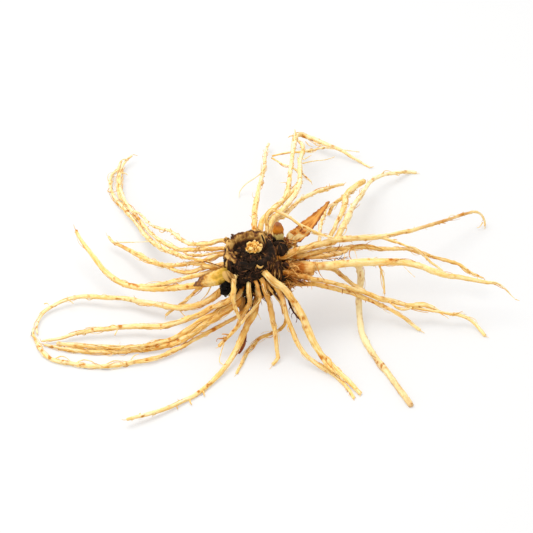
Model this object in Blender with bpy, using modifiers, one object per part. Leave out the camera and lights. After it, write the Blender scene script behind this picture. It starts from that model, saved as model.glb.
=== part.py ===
"""A dried valerian root: a short dark rhizome with a cut top, standing on the straw-coloured roots that fan out
from it. Lengths below are in millimetres from the rhizome's foot point on the surface, X to the right, Y away
from the front, Z up. The scene is in metres, with its origin at the middle of the whole root's base.
"""

import math

import bmesh
import bpy
import numpy as np
from mathutils import Matrix, Vector, kdtree, noise

MM = 0.001
OBJECT_NAME = "valerian_root"

# The rhizome's foot point, from the middle of the base
FOOT = Vector((-8.0, -27.6, 0.0))

# Clearances and how finely a tube follows its route
GAP = 0.3
ROOM = 0.55
DENSE_STEP = 1.0
CHORD_ERROR = 0.14
LONGEST_RUN = 11.0
ROOT_SIDES = 6
BUD_SIDES = 8

# How crossing roots are bent apart: most rounds, how far a root looks for others, how far a bend spreads, and
# the part of its radius that a root keeps above the floor, so that its underside is cut a little flat
SETTLE_ROUNDS = 160
SETTLE_REACH = 9.0
SETTLE_STOP = 0.02
SETTLE_PUSH = 1.6
SETTLE_SPREAD = 4
FLOOR_REST = 0.75
FLOOR_SIZE = 0.4
FLOOR_DEPTH = 0.01

# The rhizome: a barrel on a vertical axis, its top broken into a shallow cup
RHIZOME_AXIS = Vector((-1.8, 0.0, 0.0))
BARREL_PROFILE = (
    (9.5, 41.7),
    (10.2, 39.0),
    (10.3, 34.5),
    (9.6, 31.0),
    (7.9, 28.0),
    (5.0, 25.2),
    (0.0, 22.6),
)
CUP_PROFILE = ((0.0, 38.0), (5.5, 38.3), (6.3, 41.3), (7.9, 42.1))
BARREL_STEPS = 26
LOBES = (
    (Vector((10.6, 4.6, 0.0)), ((0.0, 40.2), (2.9, 39.7), (4.1, 37.0), (4.3, 32.0), (3.0, 28.2), (0.0, 26.6))),
    (Vector((9.2, -3.4, 0.0)), ((0.0, 37.0), (2.6, 36.4), (4.2, 33.5), (4.3, 29.5), (2.6, 26.3), (0.0, 25.0))),
)
LOBE_STEPS = 12
BARREL_TOP = ((0.0, 42.2), (7.6, 42.1))
BARK_RELIEF = 0.55
BARK_GRAIN = 2.6
CUP_RELIEF = 1.3
CUP_GRAIN = 3.0
ROOT_START_SHARE = 0.45
ROOT_START_HEIGHTS = (29.0, 35.0)

# The pale pith in the cup, and the crumb of soil caught between the roots
PITH_CENTRE = Vector((0.0, -0.2, 41.4))
PITH_SIZE = Vector((3.3, 3.2, 2.3))
PITH_RELIEF = 0.7
CRUMB_CENTRE = Vector((-11.1, -8.9, 27.2))
CRUMB_SIZE = Vector((2.5, 2.3, 3.1))
CRUMB_RELIEF = 1.2
CRUMB_ROOM = 0.45
LUMP_GRAIN = 1.6

# Each strand is its radii, spread evenly from end to end, and the points that it runs through. The first strand
# of a root starts in the rhizome, and the others are branches grown together with it.
ROOTS = {
    "root_back_left_upper": [
        (
            (0.85, 0.8, 0.6, 0.4),
            [(-12, 11, 36), (-17.6, 11.8, 34), (-21.6, 14.3, 31), (-24.8, 18.3, 28), (-29.6, 29.7, 22)]
            + [(-33.6, 41, 17), (-38.4, 49.2, 12), (-42.4, 56.2, 9), (-45.2, 63.8, 7), (-48.4, 67.6, 6)],
        )
    ],
    "root_back_left_middle": [
        (
            (0.9, 0.85, 0.75, 0.5),
            [(-12, 7.3, 35), (-17.6, 9.5, 33), (-21.6, 14.2, 30), (-25.6, 18.3, 26), (-29.6, 23.9, 21)]
            + [(-34.4, 33.9, 15), (-39.6, 44.7, 10), (-43.6, 54.2, 7), (-46.8, 63.4, 5), (-50, 71.4, 4)]
            + [(-52.4, 78.4, 3.5), (-54, 85.4, 3), (-54.4, 92.4, 2.5), (-54, 98.8, 2.5), (-52, 103.7, 3)]
            + [(-49.2, 106.6, 4)],
        ),
        (
            (0.35, 0.6, 0.65, 0.6, 0.4),
            [(-54.4, 101.1, 2.2), (-54.9, 97.3, 2.2), (-55.2, 92.2, 2.2), (-55, 87, 2.2)]
            + [(-54.4, 82.6, 2.2), (-52.8, 78.4, 2.6), (-50.4, 73.4, 3.4)],
        ),
        (
            (0.45, 0.45, 0.4),
            [(-9, 6.4, 34), (-12, 7, 33.5), (-17.6, 8.8, 31), (-21.6, 11.1, 28.5), (-25.2, 15, 25.6)]
            + [(-28.6, 21.2, 22.2)],
        ),
    ],
    "root_back_left_torn": [
        (
            (0.35, 0.4, 0.9, 0.9, 0.85, 0.75, 0.65, 0.5),
            [(-12.4, -2, 33), (-19.6, 3.7, 31), (-25.2, 9.7, 28), (-29.6, 19.1, 22), (-34.4, 30.1, 16)]
            + [(-38.8, 40.2, 11), (-42, 48.1, 8), (-44.8, 56, 5.5), (-47.6, 64.3, 4), (-50.8, 71.3, 3)]
            + [(-54, 77.8, 1.4), (-56.8, 84.3, 0.8), (-58.2, 91.9, 0.5), (-57.6, 98.2, 0.5)]
            + [(-55.2, 101, 1), (-53.8, 104.6, 2.5)],
        )
    ],
    "root_left_fork": [
        (
            (0.85, 0.8, 0.85, 1.0, 0.5),
            [(-12, 5.1, 34), (-16.8, 6.3, 31), (-21.6, 9, 27), (-25.6, 13, 23), (-30.4, 18.1, 18)]
            + [(-34.4, 22.7, 14), (-38.4, 27.4, 11), (-42, 31.8, 9), (-45.6, 36.6, 7.5), (-49.6, 42, 6)]
            + [(-53.6, 46.8, 5), (-56.8, 49.9, 4.5), (-58.8, 52.5, 5.5)],
        ),
        (
            (0.8, 0.8, 0.7),
            [(-9, 0, 33.5), (-12.4, 0, 33), (-17.6, 1.4, 31), (-21.6, 6.2, 28), (-25.6, 12.1, 23.6)],
        ),
        (
            (0.8, 0.8, 0.6),
            [(-9, 0.2, 32), (-12.8, 0.5, 31.5), (-16.8, 2.7, 29), (-21.6, 5.8, 25), (-25.6, 9.6, 21)]
            + [(-29.6, 14.9, 17), (-33.6, 21.1, 13.9), (-37.2, 25.9, 11.6)],
        ),
        ((0.5, 0.95, 0.5), [(-48.2, 38.4, 8.3), (-45.6, 36.8, 8.5), (-43.2, 34.2, 8.9)]),
    ],
    "root_left_hook": [
        (
            (1.2, 1.2, 1.3, 1.1, 0.6),
            [(-12, -2, 26), (-16, -0.6, 24), (-19.6, 0.9, 22), (-22.8, 2.4, 20), (-27.6, 5.2, 17)]
            + [(-32.8, 8.3, 14), (-37.6, 10.4, 12), (-42.4, 12.2, 10.5), (-46.8, 14.3, 9.5)]
            + [(-50.8, 16.4, 9), (-54.6, 18.8, 9), (-58, 22.1, 9.5), (-61.2, 26.2, 10)]
            + [(-64, 30.9, 11), (-66.9, 35.8, 12), (-69.6, 40.3, 13), (-71.7, 45.8, 14)],
        ),
        (
            (0.9, 0.9, 0.8),
            [(-9, 1, 31), (-13.2, 1.7, 30), (-17.6, 3.3, 27), (-22.4, 5.4, 23.5), (-26.8, 7.5, 20)]
            + [(-31.6, 9, 17), (-36.4, 10.6, 14.2), (-41.6, 12.4, 11.9), (-46.4, 14.7, 10)],
        ),
    ],
    "root_left_short": [
        (
            (0.75, 0.7, 0.6),
            [(-10.5, 1, 27), (-16.8, 2.2, 23.4), (-22, 3.2, 18.2), (-26, 4.8, 12), (-29.6, 6, 7)]
            + [(-32.8, 6.5, 4), (-35.6, 6, 1.5)],
        )
    ],
    "root_loop_upper": [
        (
            (1.4, 1.4, 1.2, 1.0, 0.7, 0.4),
            [(-11.6, -6.1, 26), (-15.6, -4.3, 20), (-19.6, -1.9, 15), (-23.6, 0.5, 11), (-28.4, 3.3, 8)]
            + [(-33.6, 5.5, 6.5), (-39.6, 8.4, 5.5), (-45.6, 10.9, 5), (-51.6, 13.1, 4.8)]
            + [(-59.6, 14.1, 4.5), (-66.4, 15.4, 4), (-71.6, 15.3, 3.5), (-76.8, 13.4, 3)]
            + [(-81.2, 10.8, 2.5), (-84.4, 7.3, 2), (-86.4, 3.3, 1.6), (-87.2, -1.6, 1.4), (-86.9, -5, 1.2)],
        )
    ],
    "root_loop_outer": [
        (
            (0.8, 0.8, 0.8, 0.85, 0.9, 0.5),
            [(-3.2, -9.4, 22), (-5.6, -9.6, 15), (-9.6, -8.8, 11), (-15.6, -8.9, 7), (-20.4, -9.9, 4.5)]
            + [(-25.6, -12.5, 3), (-30.4, -15.7, 2.2), (-35.6, -19, 1.8), (-41.6, -22, 1.6)]
            + [(-47.6, -23.4, 1.5), (-53.6, -24.9, 1.4), (-59.6, -25.9, 1.2), (-65.6, -25.6, 1.1)]
            + [(-71.6, -24.3, 1.1), (-77.6, -22.7, 1.1), (-81.6, -20.7, 1.1), (-84.8, -16.5, 1.1)]
            + [(-86.8, -11.3, 1), (-88.4, -5.5, 0.9), (-88.6, -1.1, 0.8)],
        )
    ],
    "root_left_low": [
        (
            (1.1, 1.1, 1.1, 1.2, 0.9, 0.5),
            [(-8.8, -11.9, 25), (-12.8, -9.4, 20), (-16.8, -7.7, 15.5), (-21.6, -6.2, 12), (-26.4, -5, 9)]
            + [(-31.6, -5.4, 7), (-36.8, -5.4, 5.5), (-42.4, -4.8, 4.8), (-48.4, -4.2, 4.3)]
            + [(-54.4, -4.5, 4), (-60.4, -5.4, 3.7), (-66.4, -6.1, 3.3), (-71.6, -7.1, 2.8)]
            + [(-76.8, -9, 2.2), (-81.6, -9.7, 1.8), (-85.2, -10.4, 1.6)],
        )
    ],
    "root_left_bundle": [
        (
            (1.0, 1.0, 1.0, 0.8),
            [(-7.2, -10.7, 25), (-11.6, -8.4, 20), (-15.6, -8.1, 16), (-19.6, -8.4, 12.5)]
            + [(-23.6, -9.8, 9.5), (-27.6, -11.1, 7), (-32.4, -12.8, 5), (-37.6, -13.8, 3.8)]
            + [(-43.6, -15.1, 2.8), (-49.6, -15.5, 2.4), (-56.8, -15.3, 2.3), (-63.6, -14.7, 2.2)]
            + [(-69.6, -14.1, 2.2), (-75.2, -13.1, 2.2), (-79.2, -12.5, 2.2)],
        ),
        (
            (1.25, 1.15, 1.0, 0.5),
            [(-4, -8, 24), (-6.4, -11.3, 22), (-10.4, -10.2, 17.5), (-14.8, -9.7, 13.5)]
            + [(-19.2, -10.1, 10), (-23.2, -11.1, 7), (-27.2, -12.8, 4.8), (-31.6, -14, 3.4)]
            + [(-36.8, -14.7, 2.3), (-41.6, -15.2, 1.6), (-47.6, -15.9, 1.2), (-54.4, -16.4, 1)]
            + [(-61.6, -16.4, 1), (-67.6, -16.1, 1), (-72.4, -15.4, 1), (-76.8, -14.1, 1)]
            + [(-80.8, -12.8, 1), (-84.4, -11.5, 0.9)],
        ),
        (
            (1.0, 1.0, 0.8),
            [(-5, -8.5, 24), (-8.4, -10.6, 21), (-12.8, -9.1, 16), (-17.6, -9.4, 12), (-22.4, -10.7, 8.5)]
            + [(-26.4, -12.4, 6), (-30.4, -13.4, 4.5)],
        ),
    ],
    "root_front_short": [
        (
            (1.0, 1.0, 0.8, 0.6),
            [(-7.6, -9.3, 33.7), (-8, -11.6, 31.5), (-8.2, -13.4, 29.3), (-8.4, -15, 27), (-7.6, -15.2, 23)]
            + [(-6.6, -15.2, 19.5), (-5.4, -15.3, 16.5)],
        )
    ],
    "root_front_knotted": [
        (
            (0.9, 0.9, 0.9, 0.8, 0.7),
            [(-2.2, -10.5, 31), (-2.2, -12.4, 29.5), (-2, -12.4, 26.5), (-1.8, -12.6, 23.5)]
            + [(-2.8, -12.6, 20.5), (-4.2, -12.4, 17), (-5.2, -14, 15.5), (-6.4, -14.5, 13)]
            + [(-8.4, -14.9, 10), (-11.2, -15.6, 7), (-14.4, -17, 4)],
        )
    ],
    "root_front_thin": [
        (
            (0.8, 0.75, 0.6),
            [(1.4, -11, 32), (2, -12.4, 29), (2.4, -12.5, 25.5), (1.4, -12.5, 22.5), (-0.4, -13.3, 20.5)]
            + [(-2.4, -14, 18.5), (-4.4, -15.3, 17), (-5.6, -16, 15.5)],
        )
    ],
    "root_front_long": [
        (
            (1.6, 1.5, 1.3, 1.0, 0.95, 0.85, 0.7),
            [(0.8, -8, 26), (0.4, -8.8, 21.5), (-0.8, -9.5, 17), (-2.2, -10.9, 13), (-3.6, -13, 9.5)]
            + [(-5.2, -16, 6.8), (-7.2, -20, 4.6), (-9.4, -24.1, 3.2), (-12.2, -28.7, 2.1)]
            + [(-15.4, -33.7, 1.3), (-19.2, -38.8, 0.9), (-23.5, -43.7, 0.8), (-28.2, -47.8, 1.1)]
            + [(-33.6, -52.3, 1.7), (-39, -56.2, 2.4), (-44.8, -59.5, 3.1), (-51, -63.1, 3.8)],
        )
    ],
    "root_front_dead": [
        (
            (0.6, 0.6, 0.5),
            [(-0.6, -9.4, 22), (-2.4, -9.6, 12), (-3.4, -12.4, 6), (-3.8, -13.8, 3.5), (-4.8, -15.7, 1.6)]
            + [(-6.4, -17.3, 0.8)],
        )
    ],
    "root_floor": [
        (
            (0.75, 0.75, 0.7, 0.6),
            [(9, -5, 24), (11.6, -5.8, 15), (12.8, -4.6, 9.5), (12, -5.4, 6), (9.6, -6.2, 3.8)]
            + [(6, -7.1, 2.5), (2.8, -7.8, 1.5), (0.4, -10.5, 0.8), (-2, -14.1, 0.6), (-4, -19, 0.5)]
            + [(-5.2, -24, 0.5), (-7, -29.9, 0.5)],
        )
    ],
    "root_front_bent": [
        (
            (1.2, 1.1, 1.0, 0.8),
            [(3.4, -10.5, 32), (4.4, -11.7, 28.5), (5.6, -11.9, 24), (6.8, -12.7, 19.5)]
            + [(7.6, -13.7, 15.2), (8.4, -14.8, 11), (8.8, -16.9, 7.5), (9.2, -18.9, 4), (9.4, -21.3, 1.6)]
            + [(7.2, -24.4, 0.7)],
        )
    ],
    "root_front_right_thin": [
        (
            (0.6, 0.6),
            [(6, -9.5, 30), (8.4, -10.6, 25.5), (10.8, -10.7, 21.5), (12.6, -11.4, 17.5), (14.2, -12.8, 13.6)],
        )
    ],
    "root_front_right_inner": [
        (
            (1.0, 1.0, 0.95, 0.9, 0.6),
            [(9.2, -11.1, 29.5), (10.8, -12.4, 27), (12, -13.8, 23.5), (12.8, -15.2, 20)]
            + [(13.8, -16.6, 16.5), (15.2, -18, 13), (16.8, -20, 9.8), (18.8, -22, 7), (21.6, -24.3, 4.6)]
            + [(25.2, -26.4, 2.9), (29.2, -28.6, 1.6), (32.4, -31.4, 0.9), (35.2, -35.1, 0.7)]
            + [(37.8, -39.3, 0.6), (40, -45.5, 0.5)],
        )
    ],
    "root_front_right_thick": [
        (
            (1.4, 1.35, 1.3, 1.6, 1.35, 1.05, 0.85),
            [(5.6, -10.6, 35.3), (8.4, -11.3, 33), (11.6, -12.3, 30), (14.4, -13.7, 27), (16.8, -15, 24)]
            + [(18.8, -16.8, 20.8), (20.4, -18.5, 17.5), (22, -20.4, 14.4), (23.6, -22.4, 11.4)]
            + [(25.6, -24.6, 8.6), (28, -26.6, 6.4), (30.8, -29, 4.7), (34, -32.3, 3.2)]
            + [(37.2, -36.1, 2), (40, -39.5, 1.2), (42.8, -42.9, 0.7)],
        ),
        (
            (0.6, 0.7, 0.6),
            [(20.6, -18.8, 17.2), (22.4, -22.6, 13), (24.4, -24.4, 9.9), (26.8, -27.2, 6.9)]
            + [(29.6, -30.2, 4.4), (33.4, -33.2, 3.1)],
        ),
    ],
    "root_front_right_dark": [
        (
            (0.4, 0.4, 0.35),
            [(10, -9.4, 29), (11.6, -10.5, 27), (13.6, -11.2, 24), (14.8, -12, 20.5), (16.4, -12.7, 17.5)]
            + [(18.8, -13.8, 15)],
        )
    ],
    "root_right_upper": [
        (
            (1.3, 1.3, 1.2, 0.85, 0.75, 0.65, 0.4),
            [(10.8, 1.9, 34), (14.4, 4.1, 34.5), (18.4, 6.7, 34.5), (23.2, 9.9, 34), (28.4, 13.7, 33)]
            + [(34.4, 17.5, 31.5), (40.8, 20.9, 29.5), (47.2, 24.4, 27), (53.6, 29.4, 24), (60, 35.4, 21)]
            + [(66.4, 41.4, 18), (73.2, 48.7, 15), (79.2, 54.7, 12.5), (84.4, 60, 10.5), (88.4, 63.5, 9)]
            + [(91.2, 65.2, 6.5), (92.8, 65.4, 3.2), (93.1, 64.5, 0.4)],
        ),
        (
            (0.5, 0.5, 0.45),
            [(47.2, 24.4, 27), (51.6, 26.8, 24.8), (55.2, 27.1, 23.2), (58.4, 27.1, 21.9)]
            + [(61.6, 26.1, 20.9), (64.8, 25.4, 20), (68.4, 23.5, 18), (71.2, 21.3, 16.5)]
            + [(73.6, 20.8, 14.8), (76, 19.4, 13.4)],
        ),
    ],
    "root_right_matted": [
        (
            (1.0, 1.1, 0.75, 0.9, 0.6, 0.7, 0.35),
            [(13.6, 4, 31.5), (17.6, 5.7, 31.5), (21.6, 7.8, 31.5), (26.4, 11, 30.5)]
            + [(31.2, 14.5, 29), (35.6, 16.8, 27.5), (39.2, 18.6, 26.3), (42.4, 21, 25)]
            + [(46.4, 22.4, 23.7), (50.8, 23.3, 22.2), (56, 25.1, 20.5), (60.8, 27, 19), (65.2, 26.8, 17.6)]
            + [(69.6, 26.7, 16.2), (74.4, 26.4, 14.6), (78.8, 26.5, 13), (82, 26.5, 12), (84.8, 24.9, 11)]
            + [(88, 22.8, 9.8), (92, 21.3, 8.5)],
        ),
        (
            (0.7, 0.9, 0.95, 0.85, 0.6),
            [(20.4, 7.4, 30.4), (23.2, 8.6, 29.3), (27.2, 10.6, 28.5), (31.2, 12.4, 27.8)]
            + [(34.6, 14, 27.2), (37.6, 16.8, 26.6)],
        ),
    ],
    "root_right_main": [
        (
            (1.6, 1.6, 1.75, 1.6, 1.6, 1.25, 1.05, 0.75, 0.4),
            [(10.4, 2.4, 31), (18.4, 3.6, 29.5), (24.8, 4.3, 28.5), (30.4, 5.2, 28), (36.4, 6.8, 27.5)]
            + [(42.4, 8.4, 27), (48.4, 9.3, 26.5), (54.4, 10.5, 25.8), (60.4, 10.8, 25), (66.4, 9.8, 24)]
            + [(71.6, 8.2, 22.8), (76.8, 7.2, 21.5), (82.4, 7.8, 20), (88, 7.8, 18.5), (93.2, 8.1, 17)]
            + [(97.2, 8.7, 16), (101.2, 6.9, 13.6), (104.8, 4.7, 11)],
        ),
        (
            (0.4, 0.35),
            [(50, 9.9, 25.4), (51.4, 9.1, 20.5), (52, 7.7, 16.5), (52.4, 4.6, 13.6)],
        ),
    ],
    "root_right_lower_upper": [
        (
            (1.0, 1.0, 0.9, 0.8, 1.1, 0.6, 0.7, 0.7),
            [(12, -4, 32), (16.8, -4, 30.5), (22.4, -2.5, 28), (28, -0.3, 24.5), (33.6, 2.4, 20.5)]
            + [(39.2, 3.6, 17.5), (44.8, 4.5, 14.5), (50.4, 4.1, 12), (54.4, 5.3, 10), (59.2, 4.6, 8.8)]
            + [(64, 3.6, 7.8), (68.4, 3.3, 7), (73.6, 2.7, 6.2), (78.4, 2.3, 5.5), (82.4, 2.1, 5)]
            + [(86, 1, 4), (89.2, -1.1, 2.3), (92.8, -5.8, 0.5)],
        ),
        (
            (0.4, 0.95, 1.1, 0.75, 0.35),
            [(60.4, 4, 9), (64.4, 3.9, 8.8), (67.6, 4.5, 8.5), (70.6, 4.1, 7.8), (74.4, 3, 6.4)],
        ),
        ((0.4, 0.5, 0.4), [(54, 4.6, 10.2), (57, 1.9, 9.3), (60, 1, 8.8), (63.4, 3, 8)]),
        (
            (1.0, 1.0, 0.8),
            [(8, 7, 26), (16, 9.5, 24), (24, 11.6, 22), (31.2, 12, 21), (34.4, 11, 19), (38, 9, 16.8)]
            + [(41.6, 6.6, 15.4), (45.6, 4.6, 14)],
        ),
    ],
    "root_right_lower": [
        (
            (1.05, 1.05, 0.9, 0.8, 0.7),
            [(12, -3.8, 26), (17.6, -2.3, 24.5), (23.2, 0.2, 22.5), (28.8, 2, 19.8), (34.4, 3.3, 17)]
            + [(40, 4.2, 14.2), (45.2, 4.4, 11.5), (50.4, 3.7, 9), (55.2, 2.9, 6.8), (59.6, 1.2, 4.8)]
            + [(62.8, 0.1, 2.4), (66.8, -2.4, 0.5)],
        )
    ],
    "root_back_left_straight": [
        (
            (1.2, 1.2, 0.9, 0.8, 0.7, 0.5),
            [(0.5, 9, 34), (0.2, 19.9, 36.5), (0.2, 28.8, 35), (0.6, 38.3, 32.5), (1.4, 49, 29)]
            + [(2.2, 60.5, 24.5), (3, 71.2, 20), (3.8, 81.9, 15.5), (4.3, 94, 11), (4.6, 103.4, 7.5)]
            + [(5.2, 109.8, 5), (6, 115.5, 3)],
        )
    ],
    "root_back_pair": [
        (
            (1.25, 1.2, 1.05, 0.95, 0.8, 1.2, 0.9, 0.4),
            [(1.4, 12, 34), (3.2, 24.3, 35), (5.6, 29.4, 35), (8.4, 35.1, 34), (11.6, 42.1, 32)]
            + [(13.6, 51.6, 29), (14.3, 63.7, 25), (14.7, 75.1, 21), (15.3, 86.5, 17), (15.8, 97.9, 13)]
            + [(16.1, 106.7, 10), (16.6, 112.6, 8), (17.8, 116.9, 6.5), (19.8, 118, 5.5), (22.3, 117.1, 5)]
            + [(25.1, 115.2, 5), (27.9, 113.3, 5), (30.8, 111.7, 4.8), (33.7, 110.8, 4.2)]
            + [(36.6, 109.2, 3.5), (39.4, 107.6, 2.4), (42.2, 106.4, 1.3), (44.6, 105, 0.5), (47, 102.9, 0.4)],
        ),
        (
            (1.1, 1.1, 1.0, 0.85, 0.65),
            [(3, 9, 32), (7.2, 27.4, 33), (10, 31.9, 33), (12.8, 37.6, 32), (15.2, 45.3, 30)]
            + [(17.2, 54.8, 27), (18.5, 65.5, 23.5), (18.5, 76.3, 20), (18.5, 87.7, 16), (19.4, 96.6, 13)]
            + [(19.7, 102.3, 11), (18.9, 108, 9), (16.8, 112.3, 7.9)],
        ),
        (
            (0.35, 0.4, 0.35),
            [(7.2, 97.2, 11), (10.8, 97.2, 12), (14.8, 97.2, 13), (18.8, 98, 12.6), (22.8, 101.6, 10.5)]
            + [(26.8, 106, 8), (30.4, 110.4, 5)],
        ),
        (
            (0.7, 0.95, 0.95, 0.8),
            [(18.4, 67.5, 22.8), (17.4, 61.6, 24.8), (15.4, 54.8, 27), (12.6, 45.2, 30.4), (9.6, 36.8, 33)],
        ),
        (
            (0.35, 0.4, 0.35),
            [(7.2, 93.4, 13), (11.2, 85.2, 16.5), (14.4, 80.2, 19), (17.6, 76.3, 20), (20, 75.6, 18.5)]
            + [(23.2, 73.6, 16)],
        ),
    ],
    "root_back_right_arm": [
        (
            (1.4, 1.3, 1.0, 0.85, 0.8, 0.7, 0.6),
            [(5, 9, 30), (8.8, 29.9, 31), (11.6, 33.8, 31), (14.4, 39.5, 30), (17.2, 45.2, 28.5)]
            + [(20.4, 50.9, 26.5), (23.6, 56.6, 24), (26.4, 61.6, 21.5), (29.6, 67, 18.5), (32.4, 71.4, 16)]
            + [(36, 76.2, 13)],
        )
    ],
    "root_top_arch": [
        (
            (1.0, 0.9, 0.6, 0.6, 0.6, 0.45),
            [(4.6, 9.6, 38.5), (5.2, 11.6, 40), (5.2, 13.6, 42), (5.2, 15, 44.5), (6.4, 16.3, 46)]
            + [(8.4, 17, 46.5), (10.4, 16.6, 46), (14.4, 15.6, 44), (18.4, 14.2, 41.5), (22.4, 14.2, 39)]
            + [(26.4, 14.1, 37), (30.4, 14.3, 35.3), (32, 14.6, 34.4)],
        )
    ],
    "root_back_right_pale": [
        (
            (0.6, 0.6, 0.6, 0.5),
            [(9, 11, 27), (16, 17, 25), (25.4, 24, 23.6), (26.4, 32.9, 22.6), (27.2, 42.4, 20.5)]
            + [(28.2, 51.3, 18), (29.6, 59, 15), (31.2, 63.6, 12.6), (33.4, 66.4, 10.4)],
        )
    ],
    "root_back_right_forked": [
        (
            (0.85, 0.85, 0.8, 0.9, 1.35, 1.1),
            [(8, 9, 30), (16.8, 11.5, 30.4), (22.8, 14.6, 30), (27.2, 17.6, 29.2), (29.8, 20.8, 28.4)]
            + [(31.2, 25.8, 27.2), (32.4, 33.6, 25), (34, 41.8, 22.5), (35.6, 50.7, 19.5), (36.4, 57, 17.5)]
            + [(36.6, 63.4, 15.5), (37.4, 68.7, 13.8), (38.8, 72.9, 12.5), (40.8, 77.3, 11)]
            + [(42.8, 81.4, 9.5), (44.4, 85.5, 7.4)],
        ),
        (
            (0.8, 0.7, 0.6),
            [(38, 70.6, 13.2), (36.4, 68.8, 12.8), (34.8, 68.4, 11.5), (32.8, 70.2, 8.5), (31.2, 71.4, 4.5)]
            + [(30, 72, 0.5)],
        ),
    ],
    "root_back_right_long": [
        (
            (1.2, 1.25, 1.35, 1.2, 0.95, 0.8, 0.75, 0.65),
            [(9, 8, 30), (14, 12, 28.5), (20.5, 16.4, 27.6), (27.2, 20.3, 27), (31.6, 23.6, 26.2)]
            + [(34, 27.8, 25.7), (35.3, 33, 24.9)]
            + [(37.5, 42.5, 22), (39, 52, 19), (40.8, 60.8, 16), (42.9, 68.4, 13.5), (45, 76.1, 11)]
            + [(46.5, 82.2, 9), (48.3, 86.6, 7.5), (50.9, 90.4, 6), (54, 93.2, 5), (57.2, 95, 4)]
            + [(60.4, 98, 2.2), (63.6, 99.7, 0.8), (65.8, 99.5, 0.5)],
        )
    ],
    "stolon": [
        (
            (1.4, 1.4, 1.4, 1.35, 1.3, 1.3, 1.25, 1.25),
            [(12, 6.2, 27), (20, 7.2, 26.3), (28, 8.7, 25.6), (34, 10, 25), (38.4, 11.3, 24.2)]
            + [(41, 12.3, 22.8), (42.2, 12.9, 20), (42.7, 12.8, 16.6), (42.7, 12.4, 12.6), (42.1, 10, 9)]
            + [(42.2, 6.1, 6)]
            + [(42.4, 1.2, 3.4), (43.2, -4.5, 1.8), (44.8, -10.7, 1.1), (47.6, -17.6, 1), (51.6, -25.9, 1)]
            + [(56, -35.5, 1), (60, -44.4, 1), (63, -50.8, 1)],
        )
    ],
}

# Solids that stand among the roots, as radii and points: the two buds and the cut shoot
BUDS = {
    "bud_left": (
        (2.6, 3.0, 2.8, 1.9, 0.5),
        [(-9, -3.6, 32.6), (-12.5, -4.6, 30.8), (-16.4, -3.4, 28), (-20.6, -1.6, 25), (-24.4, 0, 22)],
    ),
    "bud_top": (
        (2.0, 2.4, 2.5, 2.3, 1.0),
        [(9.4, 7.6, 35.5), (9.5, 8.6, 38.5), (9.6, 9.1, 41.5), (9.6, 9.2, 44.6), (9.5, 9, 47.2)],
    ),
}
CUT_SHOOT = ((10.4, 0.4, 30.8), (24.4, 0.2, 29.8))
CUT_SHOOT_HALF_WIDTH = 2.35
CUT_SHOOT_HALF_THICKNESS = 1.0
CUT_SHOOT_WIDTH_DIRECTION = (0.0, 0.62, 0.78)

# The leaf sheath: stations along it as a middle point, half the width, and how far its sides fold up
SHEATH_STATIONS = (
    ((14.0, 10.4, 35.4), 2.3, 0.8),
    ((16.0, 11.8, 35.9), 3.4, 1.5),
    ((18.6, 14.2, 36.4), 3.5, 1.4),
    ((21.3, 18.1, 36.9), 2.8, 1.0),
    ((23.8, 22.4, 37.1), 2.2, 0.8),
    ((26.3, 27.2, 37.1), 1.65, 0.6),
    ((28.6, 31.8, 37.0), 1.0, 0.3),
    ((30.2, 35.0, 36.9), 0.4, 0.1),
)
SHEATH_THICKNESS = 0.7
SHEATH_FOLDS = (-1.0, -0.55, 0.0, 0.55, 1.0)
SHEATH_ROOM = 0.9

# Colours and roughness
STRAW = ((0.79, 0.56, 0.24), 0.62)
DARK_BARK = ((0.022, 0.012, 0.007), 0.85)
PITH = ((0.83, 0.56, 0.24), 0.8)
AMBER = ((0.46, 0.17, 0.02), 0.5)
OLIVE = ((0.56, 0.37, 0.08), 0.55)
STALK = ((0.74, 0.47, 0.21), 0.6)
RUST = ((0.55, 0.19, 0.03), 0.6)
SOIL = ((0.012, 0.009, 0.006), 0.95)
DEAD = ((0.24, 0.07, 0.02), 0.8)
OTHER_LOOKS = {"stolon": STALK, "root_front_dead": DEAD, "root_front_right_dark": DEAD}
SMOOTH_ANGLE = math.radians(50)


def clear_scene():
    for obj in list(bpy.data.objects):
        bpy.data.objects.remove(obj, do_unlink=True)


def new_collection(name, hidden=False):
    collection = bpy.data.collections.new(name)
    bpy.context.scene.collection.children.link(collection)
    collection.hide_render = hidden
    return collection


def material(name, look):
    colour, roughness = look
    made = bpy.data.materials.new(name)
    made.use_nodes = True
    shader = made.node_tree.nodes["Principled BSDF"]
    shader.inputs["Base Color"].default_value = (*colour, 1.0)
    shader.inputs["Roughness"].default_value = roughness
    shader.inputs["Metallic"].default_value = 0.0
    return made


def smooth_route(points):
    """A Catmull-Rom curve through the points, as places about one dense step apart."""
    points = [Vector(point) for point in points]
    padded = [2 * points[0] - points[1], *points, 2 * points[-1] - points[-2]]
    route = []
    for before, start, end, after in zip(padded, padded[1:], padded[2:], padded[3:]):
        steps = max(1, round((end - start).length / DENSE_STEP))
        for step in range(steps):
            t = step / steps
            route.append(
                0.5
                * (
                    2 * start
                    + (end - before) * t
                    + (2 * before - 5 * start + 4 * end - after) * t**2
                    + (3 * start - before - 3 * end + after) * t**3
                )
            )
    route.append(points[-1])
    return np.array(route)


def spread(radii, count):
    """The radii, evenly spread over so many places."""
    return np.interp(np.linspace(0, len(radii) - 1, count), range(len(radii)), radii)


def from_rhizome(points):
    """The route with a start added well inside the rhizome."""
    first = Vector(points[0])
    inside = RHIZOME_AXIS + (first - RHIZOME_AXIS) * ROOT_START_SHARE
    lowest, highest = ROOT_START_HEIGHTS
    inside.z = min(max(first.z, lowest), highest)
    return [inside, *points]


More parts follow.
